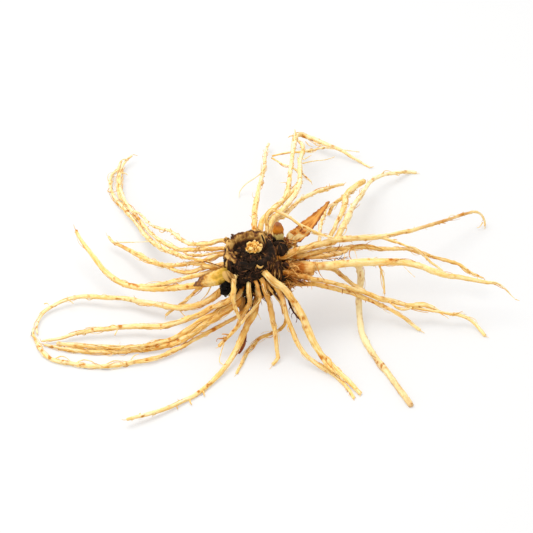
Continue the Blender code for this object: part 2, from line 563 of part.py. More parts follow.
def in_rhizome(places):
    """Which of the places the rhizome's outer form covers, where roots may meet."""
    covered = np.zeros(len(places), bool)
    for axis, profile in ((RHIZOME_AXIS, BARREL_PROFILE), *LOBES):
        from_axis = places[:, :2] - np.array(axis)[:2]
        distance = np.hypot(from_axis[:, 0], from_axis[:, 1])
        heights = [height for _, height in profile][::-1]
        widths = [radius for radius, _ in profile][::-1]
        wall = np.interp(places[:, 2], heights, widths, left=-1.0, right=-1.0)
        covered |= distance < wall - 0.5
    return covered


def near_pairs(places, owners, reach):
    """Pairs of places of different owners that lie within reach of each other."""
    tree = kdtree.KDTree(len(places))
    for index, place in enumerate(places):
        tree.insert(place, index)
    tree.balance()
    pairs = []
    for index, place in enumerate(places):
        for _, other, _ in tree.find_range(place, reach):
            if index < other and owners[index] != owners[other]:
                pairs.append((index, other))
    return np.array(pairs)


def settle(strands):
    """Bends roots that cross each other apart, a little at a time, until each has room.

    A strand is its owner, its places, its radii and whether it may move. Its places are changed in place.
    """
    starts = np.cumsum([0] + [len(strand["places"]) for strand in strands])
    places = np.concatenate([strand["places"] for strand in strands])
    radii = np.concatenate([strand["radii"] for strand in strands])
    owners = np.concatenate([[strand["owner"]] * len(strand["places"]) for strand in strands])
    loose = np.concatenate([[float(strand["loose"])] * len(strand["places"]) for strand in strands])
    kernel = np.hanning(2 * SETTLE_SPREAD + 1)
    kernel /= kernel.sum()
    first, second = near_pairs(places, owners, SETTLE_REACH).T
    share = loose[first] / np.maximum(loose[first] + loose[second], 1.0)
    least = radii[first] + radii[second] + ROOM
    for _ in range(SETTLE_ROUNDS):
        covered = in_rhizome(places)
        apart = places[first] - places[second]
        distance = np.maximum(np.linalg.norm(apart, axis=1), 1e-6)
        lack = np.maximum(least - distance, 0.0) * ~(covered[first] & covered[second])
        if lack.max() < SETTLE_STOP:
            break
        push = apart * (lack / distance)[:, None]
        moves = np.zeros_like(places)
        hits = np.zeros(len(places))
        np.add.at(moves, first, push * share[:, None])
        np.add.at(moves, second, -push * (1 - share)[:, None])
        np.add.at(hits, first, lack > 0)
        np.add.at(hits, second, lack > 0)
        moves *= (loose / np.maximum(hits, 1.0))[:, None]
        for start, end in zip(starts, starts[1:]):
            padded = np.pad(moves[start:end], ((SETTLE_SPREAD, SETTLE_SPREAD), (0, 0)), mode="edge")
            for axis in range(3):
                places[start:end, axis] += SETTLE_PUSH * np.convolve(padded[:, axis], kernel, mode="valid")
        on_floor = loose > 0
        places[on_floor, 2] = np.maximum(places[on_floor, 2], FLOOR_REST * radii[on_floor])
    for strand, start, end in zip(strands, starts, starts[1:]):
        strand["places"] = places[start:end]


def thin_out(places, first, last, kept):
    """Keeps the places that a tube needs to follow the route closely, by halving at the furthest one."""
    if last - first < 2:
        return
    chord = places[last] - places[first]
    length = np.linalg.norm(chord)
    offsets = places[first + 1 : last] - places[first]
    along = offsets @ chord / max(length, 1e-9) ** 2
    misses = np.linalg.norm(offsets - along[:, None] * chord, axis=1)
    worst = int(misses.argmax())
    if misses[worst] < CHORD_ERROR and length < LONGEST_RUN:
        return
    middle = first + 1 + worst if misses[worst] >= CHORD_ERROR else (first + last) // 2
    kept.add(middle)
    thin_out(places, first, middle, kept)
    thin_out(places, middle, last, kept)


def world(place):
    return (Vector(place) + FOOT) * MM


def to_mesh(obj):
    """The object with its modifiers or bevel applied, as a closed mesh object."""
    bpy.context.view_layer.update()
    graph = bpy.context.evaluated_depsgraph_get()
    mesh = bpy.data.meshes.new_from_object(obj.evaluated_get(graph))
    made = bpy.data.objects.new(obj.name + "_mesh", mesh)
    made.matrix_world = obj.matrix_world
    edit = bmesh.new()
    edit.from_mesh(mesh)
    bmesh.ops.remove_doubles(edit, verts=edit.verts, dist=1e-6)
    bmesh.ops.recalc_face_normals(edit, faces=edit.faces)
    edit.to_mesh(mesh)
    edit.free()
    for collection in obj.users_collection:
        collection.objects.link(made)
    name = obj.name
    bpy.data.objects.remove(obj, do_unlink=True)
    made.name = name
    return made


def tube(name, collection, places, radii, sides=ROOT_SIDES):
    """A tube with filled ends through the places, its radius changing on the way."""
    curve = bpy.data.curves.new(name, "CURVE")
    curve.dimensions = "3D"
    curve.bevel_depth = MM
    curve.bevel_resolution = (sides - 4) // 2
    curve.use_fill_caps = True
    spline = curve.splines.new("POLY")
    spline.points.add(len(places) - 1)
    for point, place, radius in zip(spline.points, places, radii):
        point.co = (*world(place), 1.0)
        point.radius = radius
    obj = bpy.data.objects.new(name, curve)
    collection.objects.link(obj)
    return to_mesh(obj)


def turned(name, collection, profile, axis, steps):
    """A closed turned solid from its outer side, top to bottom, as radius and height."""
    mesh = bpy.data.meshes.new(name)
    edit = bmesh.new()
    points = [edit.verts.new((radius * MM, 0, height * MM)) for radius, height in profile]
    for start, end in zip(points, points[1:]):
        edit.edges.new((start, end))
    edit.to_mesh(mesh)
    edit.free()
    obj = bpy.data.objects.new(name, mesh)
    obj.location = world(axis)
    collection.objects.link(obj)
    screw = obj.modifiers.new("turn", "SCREW")
    screw.steps = steps
    screw.render_steps = steps
    screw.use_merge_vertices = True
    screw.merge_threshold = 1e-5
    return to_mesh(obj)


def grow(profile, amount):
    """The profile moved outward, and down at its foot."""
    grown = []
    for radius, height in profile:
        if radius == 0:
            grown.append((0.0, height + (amount if height > 35 else -amount)))
        else:
            grown.append((radius + amount, height - 0.4 * amount if height < 32 else height))
    return grown


def roughen(obj, relief, size, seed, upright=1.0):
    """Moves the surface in and out by smooth noise, the same at the same place for any size of solid."""
    shift = Vector((seed * 7.3, seed * 3.1, seed * 5.7))
    for vertex in obj.data.vertices:
        place = vertex.co / MM
        around = Vector((place.x, place.y, 0.0))
        if around.length < 0.5:
            continue
        at = Vector((*(around.normalized() * 6.0).xy, place.z * upright)) / size + shift
        vertex.co += around.normalized() * noise.noise(at) * relief * MM


def combine(target, other, operation):
    """Applies one Boolean to the target, and removes the other object."""
    modifier = target.modifiers.new("combine", "BOOLEAN")
    modifier.operation = operation
    modifier.object = other
    modifier.solver = "MANIFOLD"
    applied = to_mesh(target)
    bpy.data.objects.remove(other, do_unlink=True)
    return applied


def duplicate(obj, collection):
    copy = bpy.data.objects.new(obj.name + "_copy", obj.data.copy())
    copy.matrix_world = obj.matrix_world
    collection.objects.link(copy)
    return copy


def finish(obj, name, mat):
    obj.name = name
    obj.data.name = name
    obj.data.materials.clear()
    obj.data.materials.append(mat)
    obj.data.shade_smooth()
    obj.data.set_sharp_from_angle(angle=SMOOTH_ANGLE)
    return obj


def keep_largest(obj):
    """Drops loose scraps that a cut left."""
    edit = bmesh.new()
    edit.from_mesh(obj.data)
    edit.verts.ensure_lookup_table()
    seen = set()
    groups = []
    for vertex in edit.verts:
        if vertex in seen:
            continue
        group = [vertex]
        seen.add(vertex)
        for member in group:
            for edge in member.link_edges:
                other = edge.other_vert(member)
                if other not in seen:
                    seen.add(other)
                    group.append(other)
        groups.append(group)
    groups.sort(key=len)
    for group in groups[:-1]:
        bmesh.ops.delete(edit, geom=group, context="VERTS")
    edit.to_mesh(obj.data)
    edit.free()


def rhizome_form(collection, extra):
    """The rhizome's outer form with its side shoot, grown by the extra; the cup is cut later."""
    profile = grow(BARREL_TOP + BARREL_PROFILE, extra)
    barrel = turned("barrel", collection, profile, RHIZOME_AXIS, BARREL_STEPS)
    roughen(barrel, BARK_RELIEF, BARK_GRAIN, 1, upright=0.3)
    for number, (axis, profile) in enumerate(LOBES):
        lobe = turned("lobe", collection, grow(profile, extra), axis, LOBE_STEPS)
        roughen(lobe, BARK_RELIEF, BARK_GRAIN, 2 + number, upright=0.3)
        barrel = combine(barrel, lobe, "UNION")
    return barrel


def make_rhizome(parts, helpers):
    body = rhizome_form(parts, 0.0)
    above = CUP_PROFILE[-1][1] + 3.0
    cup = turned(
        "cup", helpers, ((0.0, above), (8.6, above), *CUP_PROFILE[::-1]), RHIZOME_AXIS, BARREL_STEPS
    )
    roughen(cup, CUP_RELIEF, CUP_GRAIN, 3)
    return finish(combine(body, cup, "DIFFERENCE"), "rhizome", material("dark_bark", DARK_BARK))


def lump(name, collection, centre, size, relief, seed):
    """An uneven lump: a ball with its surface moved by noise."""
    mesh = bpy.data.meshes.new(name)
    edit = bmesh.new()
    bmesh.ops.create_icosphere(edit, subdivisions=3, radius=1.0)
    shift = Vector((seed * 4.1, seed * 2.3, seed * 6.7))
    for vertex in edit.verts:
        place = Vector(vertex.co[axis] * size[axis] for axis in range(3))
        place += vertex.normal * noise.noise(place / LUMP_GRAIN + shift) * relief
        vertex.co = place * MM
    edit.to_mesh(mesh)
    edit.free()
    obj = bpy.data.objects.new(name, mesh)
    obj.location = world(centre)
    collection.objects.link(obj)
    return obj


def make_crumb(parts, helpers, strands, skin):
    """Soil packed among the root bases, with a plain hole round each root that passes."""
    crumb = lump("soil_crumb", parts, CRUMB_CENTRE, CRUMB_SIZE, CRUMB_RELIEF, 2)
    crumb = combine(crumb, duplicate(skin, helpers), "DIFFERENCE")
    for strand in strands:
        away = np.linalg.norm(strand["places"] - np.array(CRUMB_CENTRE), axis=1)
        near = np.flatnonzero(away < CRUMB_SIZE.z + 6)
        if away.min() > CRUMB_SIZE.z + 2:
            continue
        stretch = slice(near[0], near[-1] + 1, 2)
        radii = strand["radii"][stretch] + CRUMB_ROOM
        hole = tube("hole", helpers, strand["places"][stretch], radii, sides=BUD_SIDES)
        crumb = combine(crumb, hole, "DIFFERENCE")
    keep_largest(crumb)
    return finish(crumb, "soil_crumb", material("soil_crumb", SOIL))


def make_cut_shoot(parts):
    start, end = (Vector(place) for place in CUT_SHOOT)
    along = (end - start).normalized()
    across = Vector(CUT_SHOOT_WIDTH_DIRECTION).normalized()
    across = (across - along * across.dot(along)).normalized()
    mesh = bpy.data.meshes.new("cut_shoot")
    edit = bmesh.new()
    bmesh.ops.create_cone(
        edit, cap_ends=True, segments=10, radius1=MM, radius2=MM, depth=(end - start).length * MM
    )
    edit.to_mesh(mesh)
    edit.free()
    obj = bpy.data.objects.new("cut_shoot", mesh)
    sizes = Matrix.Diagonal((CUT_SHOOT_HALF_WIDTH, CUT_SHOOT_HALF_THICKNESS, 1.0, 1.0))
    turn = Matrix((across, along.cross(across), along)).transposed().to_4x4()
    mesh.transform(turn @ sizes)
    obj.location = world((start + end) / 2)
    parts.objects.link(obj)
    return obj


def make_sheath(parts):
    """The leaf sheath: a channelled blade, open on its upper side, crumpled and wide at its base."""
    mesh = bpy.data.meshes.new("leaf_sheath")
    edit = bmesh.new()
    rows = []
    middles = [Vector(middle) for middle, _, _ in SHEATH_STATIONS]
    along = (middles[-1] - middles[0]).normalized()
    across = along.cross(Vector((0, 0, 1))).normalized()
    for middle, half, fold in SHEATH_STATIONS:
        row = []
        for side in SHEATH_FOLDS:
            place = Vector(middle) + across * side * half + Vector((0, 0, fold * side * side))
            row.append(edit.verts.new(world(place)))
        rows.append(row)
    for row, following in zip(rows, rows[1:]):
        for a, b, c, d in zip(row, row[1:], following[1:], following):
            edit.faces.new((a, b, c))
            edit.faces.new((a, c, d))
    edit.to_mesh(mesh)
    edit.free()
    obj = bpy.data.objects.new("leaf_sheath", mesh)
    parts.objects.link(obj)
    shell = obj.modifiers.new("thickness", "SOLIDIFY")
    shell.thickness = SHEATH_THICKNESS * MM
    shell.offset = 0.0
    return to_mesh(obj)


def all_strands():
    """Every strand of every root, and the fixed solids among them, bent clear of each other."""
    strands = []
    for name, branches in ROOTS.items():
        for number, (radii, points) in enumerate(branches):
            places = smooth_route(from_rhizome(points) if number == 0 else points)
            strands.append(
                {"owner": name, "places": places, "radii": spread(radii, len(places)), "loose": True}
            )
    for name, (radii, points) in BUDS.items():
        places = smooth_route(points)
        strands.append(
            {"owner": name, "places": places, "radii": spread(radii, len(places)), "loose": False}
        )
    shoot = smooth_route(CUT_SHOOT)
    strands.append(
        {
            "owner": "cut_shoot",
            "places": shoot,
            "radii": np.full(len(shoot), CUT_SHOOT_HALF_WIDTH),
            "loose": False,
        }
    )
    blade = smooth_route([middle for middle, _, _ in SHEATH_STATIONS])
    strands.append(
        {
            "owner": "leaf_sheath",
            "places": blade,
            "radii": spread([SHEATH_ROOM * half for _, half, _ in SHEATH_STATIONS], len(blade)),
            "loose": False,
        }
    )
    settle(strands)
    return strands


def floor_slab(helpers):
    """What lies below the surface that the root stands on."""
    bpy.ops.mesh.primitive_cube_add(size=1, location=(0, 0, -FLOOR_DEPTH / 2))
    slab = bpy.context.object
    slab.scale = (FLOOR_SIZE, FLOOR_SIZE, FLOOR_DEPTH)
    for collection in slab.users_collection:
        collection.objects.unlink(slab)
    helpers.objects.link(slab)
    slab.name = "floor_slab"
    return slab


def make_roots(parts, helpers, strands, skin):
    """Each root as one solid: its strands joined, its base fitted to the rhizome, its underside to the floor."""
    for name in ROOTS:
        body = None
        for strand in (strand for strand in strands if strand["owner"] == name):
            kept = {0, len(strand["places"]) - 1}
            thin_out(strand["places"], 0, len(strand["places"]) - 1, kept)
            kept = sorted(kept)
            piece = tube(name + "_strand", parts, strand["places"][kept], strand["radii"][kept])
            body = piece if body is None else combine(body, piece, "UNION")
        body = combine(body, duplicate(skin, helpers), "DIFFERENCE")
        if min(vertex.co.z for vertex in body.data.vertices) < 0:
            body = combine(body, floor_slab(helpers), "DIFFERENCE")
        keep_largest(body)
        finish(body, name, material(name + "_skin", OTHER_LOOKS.get(name, STRAW)))


def main():
    clear_scene()
    parts = new_collection(OBJECT_NAME)
    helpers = new_collection("cutters", hidden=True)
    strands = all_strands()
    skin = rhizome_form(helpers, GAP + 0.1)
    make_rhizome(parts, helpers)
    finish(lump("pith", parts, PITH_CENTRE, PITH_SIZE, PITH_RELIEF, 1), "pith", material("pith", PITH))
    make_roots(parts, helpers, strands, skin)
    for name, look in (("bud_left", OLIVE), ("bud_top", AMBER)):
        radii, points = BUDS[name]
        places = smooth_route(points)[::2]
        bud = tube(name, parts, places, spread(radii, len(places)), sides=BUD_SIDES)
        bud = combine(bud, duplicate(skin, helpers), "DIFFERENCE")
        finish(bud, name, material(name, look))
    shoot = combine(make_cut_shoot(parts), duplicate(skin, helpers), "DIFFERENCE")
    finish(shoot, "cut_shoot", material("cut_shoot", OLIVE))
    finish(make_sheath(parts), "leaf_sheath", material("leaf_sheath", RUST))
    make_crumb(parts, helpers, strands, skin)
    bpy.data.objects.remove(skin, do_unlink=True)


main()
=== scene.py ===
"""The look of a dried valerian root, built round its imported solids. Routes are in millimetres from the
rhizome's foot point, X to the right, Y away from the camera, Z up; the scene is in metres from the middle of
the base.
"""

import math

import bmesh
import bpy
import numpy as np
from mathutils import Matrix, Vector, kdtree

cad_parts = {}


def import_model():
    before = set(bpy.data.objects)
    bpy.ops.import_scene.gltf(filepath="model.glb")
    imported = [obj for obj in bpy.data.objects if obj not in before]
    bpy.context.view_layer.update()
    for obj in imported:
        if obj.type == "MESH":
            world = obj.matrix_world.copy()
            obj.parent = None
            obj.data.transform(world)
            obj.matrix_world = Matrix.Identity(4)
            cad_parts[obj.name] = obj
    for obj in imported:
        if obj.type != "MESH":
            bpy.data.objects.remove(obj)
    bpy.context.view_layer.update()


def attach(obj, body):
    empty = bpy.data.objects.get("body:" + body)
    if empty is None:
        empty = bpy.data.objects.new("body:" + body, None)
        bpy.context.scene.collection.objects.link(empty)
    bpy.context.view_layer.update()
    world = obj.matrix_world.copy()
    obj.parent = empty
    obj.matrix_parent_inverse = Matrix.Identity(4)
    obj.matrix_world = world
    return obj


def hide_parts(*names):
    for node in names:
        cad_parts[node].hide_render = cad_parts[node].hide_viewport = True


MM = 0.001
FOOT = np.array((-8.0, -27.6, 0.0))

# The photograph's view
VIEW_ELEVATION = math.radians(38.68)
VIEW_WIDTH = 213.2
VIEW_DISTANCE = 9000.0
VIEW_CENTRE = np.array((0.0, 0.0, 36.0))
VIEW_RIGHT = 5.0
VIEW_UP = -3.4
SENSOR = 36.0

# How routes are followed and how crossing roots are bent apart, as in the solids
DENSE_STEP = 1.0
FINE_STEP = 0.42
ROOM = 0.55
SETTLE_ROUNDS = 160
SETTLE_REACH = 9.0
SETTLE_STOP = 0.02
SETTLE_PUSH = 1.6
SETTLE_SPREAD = 4
FLOOR_REST = 0.75
ROOT_START_SHARE = 0.45
ROOT_START_HEIGHTS = (29.0, 35.0)
MEETING_DEPTH = 0.5

# The rhizome's outline as radius and height, and its two side shoots
RHIZOME_AXIS = np.array((-1.8, 0.0, 0.0))
BARREL_PROFILE = (
    (9.5, 41.7), (10.2, 39.0), (10.3, 34.5), (9.6, 31.0), (7.9, 28.0), (5.0, 25.2), (0.0, 22.6),
)
LOBES = (
    ((10.6, 4.6, 0.0), ((0.0, 40.2), (2.9, 39.7), (4.1, 37.0), (4.3, 32.0), (3.0, 28.2), (0.0, 26.6))),
    ((9.2, -3.4, 0.0), ((0.0, 37.0), (2.6, 36.4), (4.2, 33.5), (4.3, 29.5), (2.6, 26.3), (0.0, 25.0))),
)
PITH_CENTRE = (0.0, -0.2, 41.4)
PITH_SIZE = (3.3, 3.2, 2.3)
CRUMB_CENTRE = (-11.1, -8.9, 27.2)
CRUMB_SIZE = (2.5, 2.3, 3.1)

# The side shoots' stumps are drawn slimmer and nearer the barrel than their solids, since fibres wrap them
LOBE_SLIMNESS = 0.82
LOBE_SHIFT = 0.75
DRAWN_LOBES = tuple(
    ((axis[0] - LOBE_SHIFT, *axis[1:]), tuple((radius * LOBE_SLIMNESS, height) for radius, height in profile))
    for axis, profile in LOBES
)
LOBE_BROWN = (0.12, 0.3)

# The rim and the hollow inside it, and the rhizome's front from its foot, up its wall and over its filled top
RIM_PROFILE = ((9.5, 42.1), (8.9, 42.4), (8.0, 42.0), (7.0, 40.9), (6.3, 39.4), (5.6, 38.3), (0.1, 38.0))
FRONT_OUTLINE = (
    (5.0, 25.2), (7.9, 28.0), (9.6, 31.0), (10.4, 34.5), (10.2, 38.2), (9.0, 39.6), (6.0, 39.9),
    (3.4, 40.4),
)

# Each strand is its radii, spread evenly from end to end, and the points that it runs through. The first
# strand of a root starts in the rhizome, and the others are branches grown together with it.
ROOTS = {
    "root_back_left_upper": (
        ((0.85, 0.8, 0.6, 0.4), (
            (-12, 11, 36), (-17.6, 11.8, 34), (-21.6, 14.3, 31), (-24.8, 18.3, 28), (-29.6, 29.7, 22),
            (-33.6, 41, 17), (-38.4, 49.2, 12), (-42.4, 56.2, 9), (-45.2, 63.8, 7), (-48.4, 67.6, 6),
        )),
    ),
    "root_back_left_middle": (
        ((0.9, 0.85, 0.75, 0.5), (
            (-12, 7.3, 35), (-17.6, 9.5, 33), (-21.6, 14.2, 30), (-25.6, 18.3, 26), (-29.6, 23.9, 21),
            (-34.4, 33.9, 15), (-39.6, 44.7, 10), (-43.6, 54.2, 7), (-46.8, 63.4, 5), (-50, 71.4, 4),
            (-52.4, 78.4, 3.5), (-54, 85.4, 3), (-54.4, 92.4, 2.5), (-54, 98.8, 2.5), (-52, 103.7, 3),
            (-49.2, 106.6, 4),
        )),
        ((0.35, 0.6, 0.65, 0.6, 0.4), (
            (-54.4, 101.1, 2.2), (-54.9, 97.3, 2.2), (-55.2, 92.2, 2.2), (-55, 87, 2.2), (-54.4, 82.6, 2.2),
            (-52.8, 78.4, 2.6), (-50.4, 73.4, 3.4),
        )),
        ((0.45, 0.45, 0.4), (
            (-9, 6.4, 34), (-12, 7, 33.5), (-17.6, 8.8, 31), (-21.6, 11.1, 28.5), (-25.2, 15, 25.6),
            (-28.6, 21.2, 22.2),
        )),
    ),
    "root_back_left_torn": (
        ((0.35, 0.4, 0.9, 0.9, 0.85, 0.75, 0.65, 0.5), (
            (-12.4, -2, 33), (-19.6, 3.7, 31), (-25.2, 9.7, 28), (-29.6, 19.1, 22), (-34.4, 30.1, 16),
            (-38.8, 40.2, 11), (-42, 48.1, 8), (-44.8, 56, 5.5), (-47.6, 64.3, 4), (-50.8, 71.3, 3),
            (-54, 77.8, 1.4), (-56.8, 84.3, 0.8), (-58.2, 91.9, 0.5), (-57.6, 98.2, 0.5), (-55.2, 101, 1),
            (-53.8, 104.6, 2.5),
        )),
    ),
    "root_left_fork": (
        ((0.85, 0.8, 0.85, 1.0, 0.5), (
            (-12, 5.1, 34), (-16.8, 6.3, 31), (-21.6, 9, 27), (-25.6, 13, 23), (-30.4, 18.1, 18),
            (-34.4, 22.7, 14), (-38.4, 27.4, 11), (-42, 31.8, 9), (-45.6, 36.6, 7.5), (-49.6, 42, 6),
            (-53.6, 46.8, 5), (-56.8, 49.9, 4.5), (-58.8, 52.5, 5.5),
        )),
        ((0.8, 0.8, 0.7), (
            (-9, 0, 33.5), (-12.4, 0, 33), (-17.6, 1.4, 31), (-21.6, 6.2, 28), (-25.6, 12.1, 23.6),
        )),
        ((0.8, 0.8, 0.6), (
            (-9, 0.2, 32), (-12.8, 0.5, 31.5), (-16.8, 2.7, 29), (-21.6, 5.8, 25), (-25.6, 9.6, 21),
            (-29.6, 14.9, 17), (-33.6, 21.1, 13.9), (-37.2, 25.9, 11.6),
        )),
        ((0.5, 0.95, 0.5), (
            (-48.2, 38.4, 8.3), (-45.6, 36.8, 8.5), (-43.2, 34.2, 8.9),
        )),
    ),
    "root_left_hook": (
        ((1.2, 1.2, 1.3, 1.1, 0.6), (
            (-12, -2, 26), (-16, -0.6, 24), (-19.6, 0.9, 22), (-22.8, 2.4, 20), (-27.6, 5.2, 17),
            (-32.8, 8.3, 14), (-37.6, 10.4, 12), (-42.4, 12.2, 10.5), (-46.8, 14.3, 9.5), (-50.8, 16.4, 9),
            (-54.6, 18.8, 9), (-58, 22.1, 9.5), (-61.2, 26.2, 10), (-64, 30.9, 11), (-66.9, 35.8, 12),
            (-69.6, 40.3, 13), (-71.7, 45.8, 14),
        )),
        ((0.9, 0.9, 0.8), (
            (-9, 1, 31), (-13.2, 1.7, 30), (-17.6, 3.3, 27), (-22.4, 5.4, 23.5), (-26.8, 7.5, 20),
            (-31.6, 9, 17), (-36.4, 10.6, 14.2), (-41.6, 12.4, 11.9), (-46.4, 14.7, 10),
        )),
    ),
    "root_left_short": (
        ((0.75, 0.7, 0.6), (
            (-10.5, 1, 27), (-16.8, 2.2, 23.4), (-22, 3.2, 18.2), (-26, 4.8, 12), (-29.6, 6, 7),
            (-32.8, 6.5, 4), (-35.6, 6, 1.5),
        )),
    ),
    "root_loop_upper": (
        ((1.4, 1.4, 1.2, 1.0, 0.7, 0.4), (
            (-11.6, -6.1, 26), (-15.6, -4.3, 20), (-19.6, -1.9, 15), (-23.6, 0.5, 11), (-28.4, 3.3, 8),
            (-33.6, 5.5, 6.5), (-39.6, 8.4, 5.5), (-45.6, 10.9, 5), (-51.6, 13.1, 4.8), (-59.6, 14.1, 4.5),
            (-66.4, 15.4, 4), (-71.6, 15.3, 3.5), (-76.8, 13.4, 3), (-81.2, 10.8, 2.5), (-84.4, 7.3, 2),
            (-86.4, 3.3, 1.6), (-87.2, -1.6, 1.4), (-86.9, -5, 1.2),
        )),
    ),
    "root_loop_outer": (
        ((0.8, 0.8, 0.8, 0.85, 0.9, 0.5), (
            (-3.2, -9.4, 22), (-5.6, -9.6, 15), (-9.6, -8.8, 11), (-15.6, -8.9, 7), (-20.4, -9.9, 4.5),
            (-25.6, -12.5, 3), (-30.4, -15.7, 2.2), (-35.6, -19, 1.8), (-41.6, -22, 1.6),
            (-47.6, -23.4, 1.5), (-53.6, -24.9, 1.4), (-59.6, -25.9, 1.2), (-65.6, -25.6, 1.1),
            (-71.6, -24.3, 1.1), (-77.6, -22.7, 1.1), (-81.6, -20.7, 1.1), (-84.8, -16.5, 1.1),
            (-86.8, -11.3, 1), (-88.4, -5.5, 0.9), (-88.6, -1.1, 0.8),
        )),
    ),
    "root_left_low": (
        ((1.1, 1.1, 1.1, 1.2, 0.9, 0.5), (
            (-8.8, -11.9, 25), (-12.8, -9.4, 20), (-16.8, -7.7, 15.5), (-21.6, -6.2, 12), (-26.4, -5, 9),
            (-31.6, -5.4, 7), (-36.8, -5.4, 5.5), (-42.4, -4.8, 4.8), (-48.4, -4.2, 4.3), (-54.4, -4.5, 4),
            (-60.4, -5.4, 3.7), (-66.4, -6.1, 3.3), (-71.6, -7.1, 2.8), (-76.8, -9, 2.2),
            (-81.6, -9.7, 1.8), (-85.2, -10.4, 1.6),
        )),
    ),
    "root_left_bundle": (
        ((1.0, 1.0, 1.0, 0.8), (
            (-7.2, -10.7, 25), (-11.6, -8.4, 20), (-15.6, -8.1, 16), (-19.6, -8.4, 12.5),
            (-23.6, -9.8, 9.5), (-27.6, -11.1, 7), (-32.4, -12.8, 5), (-37.6, -13.8, 3.8),
            (-43.6, -15.1, 2.8), (-49.6, -15.5, 2.4), (-56.8, -15.3, 2.3), (-63.6, -14.7, 2.2),
            (-69.6, -14.1, 2.2), (-75.2, -13.1, 2.2), (-79.2, -12.5, 2.2),
        )),
        ((1.25, 1.15, 1.0, 0.5), (
            (-4, -8, 24), (-6.4, -11.3, 22), (-10.4, -10.2, 17.5), (-14.8, -9.7, 13.5), (-19.2, -10.1, 10),
            (-23.2, -11.1, 7), (-27.2, -12.8, 4.8), (-31.6, -14, 3.4), (-36.8, -14.7, 2.3),
            (-41.6, -15.2, 1.6), (-47.6, -15.9, 1.2), (-54.4, -16.4, 1), (-61.6, -16.4, 1),
            (-67.6, -16.1, 1), (-72.4, -15.4, 1), (-76.8, -14.1, 1), (-80.8, -12.8, 1), (-84.4, -11.5, 0.9),
        )),
        ((1.0, 1.0, 0.8), (
            (-5, -8.5, 24), (-8.4, -10.6, 21), (-12.8, -9.1, 16), (-17.6, -9.4, 12), (-22.4, -10.7, 8.5),
            (-26.4, -12.4, 6), (-30.4, -13.4, 4.5),
        )),
    ),
    "root_front_short": (
        ((1.0, 1.0, 0.8, 0.6), (
            (-7.6, -9.3, 33.7), (-8, -11.6, 31.5), (-8.2, -13.4, 29.3), (-8.4, -15, 27), (-7.6, -15.2, 23),
            (-6.6, -15.2, 19.5), (-5.4, -15.3, 16.5),
        )),
    ),
    "root_front_knotted": (
        ((0.9, 0.9, 0.9, 0.8, 0.7), (
            (-2.2, -10.5, 31), (-2.2, -12.4, 29.5), (-2, -12.4, 26.5), (-1.8, -12.6, 23.5),
            (-2.8, -12.6, 20.5), (-4.2, -12.4, 17), (-5.2, -14, 15.5), (-6.4, -14.5, 13), (-8.4, -14.9, 10),
            (-11.2, -15.6, 7), (-14.4, -17, 4),
        )),
    ),
    "root_front_thin": (
        ((0.8, 0.75, 0.6), (
            (1.4, -11, 32), (2, -12.4, 29), (2.4, -12.5, 25.5), (1.4, -12.5, 22.5), (-0.4, -13.3, 20.5),
            (-2.4, -14, 18.5), (-4.4, -15.3, 17), (-5.6, -16, 15.5),
        )),
    ),
    "root_front_long": (
        ((1.6, 1.5, 1.3, 1.0, 0.95, 0.85, 0.7), (
            (0.8, -8, 26), (0.4, -8.8, 21.5), (-0.8, -9.5, 17), (-2.2, -10.9, 13), (-3.6, -13, 9.5),
            (-5.2, -16, 6.8), (-7.2, -20, 4.6), (-9.4, -24.1, 3.2), (-12.2, -28.7, 2.1),
            (-15.4, -33.7, 1.3), (-19.2, -38.8, 0.9), (-23.5, -43.7, 0.8), (-28.2, -47.8, 1.1),
            (-33.6, -52.3, 1.7), (-39, -56.2, 2.4), (-44.8, -59.5, 3.1), (-51, -63.1, 3.8),
        )),
    ),
    "root_front_dead": (
        ((0.6, 0.6, 0.5), (
            (-0.6, -9.4, 22), (-2.4, -9.6, 12), (-3.4, -12.4, 6), (-3.8, -13.8, 3.5), (-4.8, -15.7, 1.6),
            (-6.4, -17.3, 0.8),
        )),
    ),
    "root_floor": (
        ((0.75, 0.75, 0.7, 0.6), (
            (9, -5, 24), (11.6, -5.8, 15), (12.8, -4.6, 9.5), (12, -5.4, 6), (9.6, -6.2, 3.8),
            (6, -7.1, 2.5), (2.8, -7.8, 1.5), (0.4, -10.5, 0.8), (-2, -14.1, 0.6), (-4, -19, 0.5),
            (-5.2, -24, 0.5), (-7, -29.9, 0.5),
        )),
    ),
    "root_front_bent": (
        ((1.2, 1.1, 1.0, 0.8), (
            (3.4, -10.5, 32), (4.4, -11.7, 28.5), (5.6, -11.9, 24), (6.8, -12.7, 19.5), (7.6, -13.7, 15.2),
            (8.4, -14.8, 11), (8.8, -16.9, 7.5), (9.2, -18.9, 4), (9.4, -21.3, 1.6), (7.2, -24.4, 0.7),
        )),
    ),
    "root_front_right_thin": (
        ((0.6, 0.6), (
            (6, -9.5, 30), (8.4, -10.6, 25.5), (10.8, -10.7, 21.5), (12.6, -11.4, 17.5),
            (14.2, -12.8, 13.6),
        )),
    ),
    "root_front_right_inner": (
        ((1.0, 1.0, 0.95, 0.9, 0.6), (
            (9.2, -11.1, 29.5), (10.8, -12.4, 27), (12, -13.8, 23.5), (12.8, -15.2, 20),
            (13.8, -16.6, 16.5), (15.2, -18, 13), (16.8, -20, 9.8), (18.8, -22, 7), (21.6, -24.3, 4.6),
            (25.2, -26.4, 2.9), (29.2, -28.6, 1.6), (32.4, -31.4, 0.9), (35.2, -35.1, 0.7),
            (37.8, -39.3, 0.6), (40, -45.5, 0.5),
        )),
    ),
    "root_front_right_thick": (
        ((1.4, 1.35, 1.3, 1.6, 1.35, 1.05, 0.85), (
            (5.6, -10.6, 35.3), (8.4, -11.3, 33), (11.6, -12.3, 30), (14.4, -13.7, 27), (16.8, -15, 24),
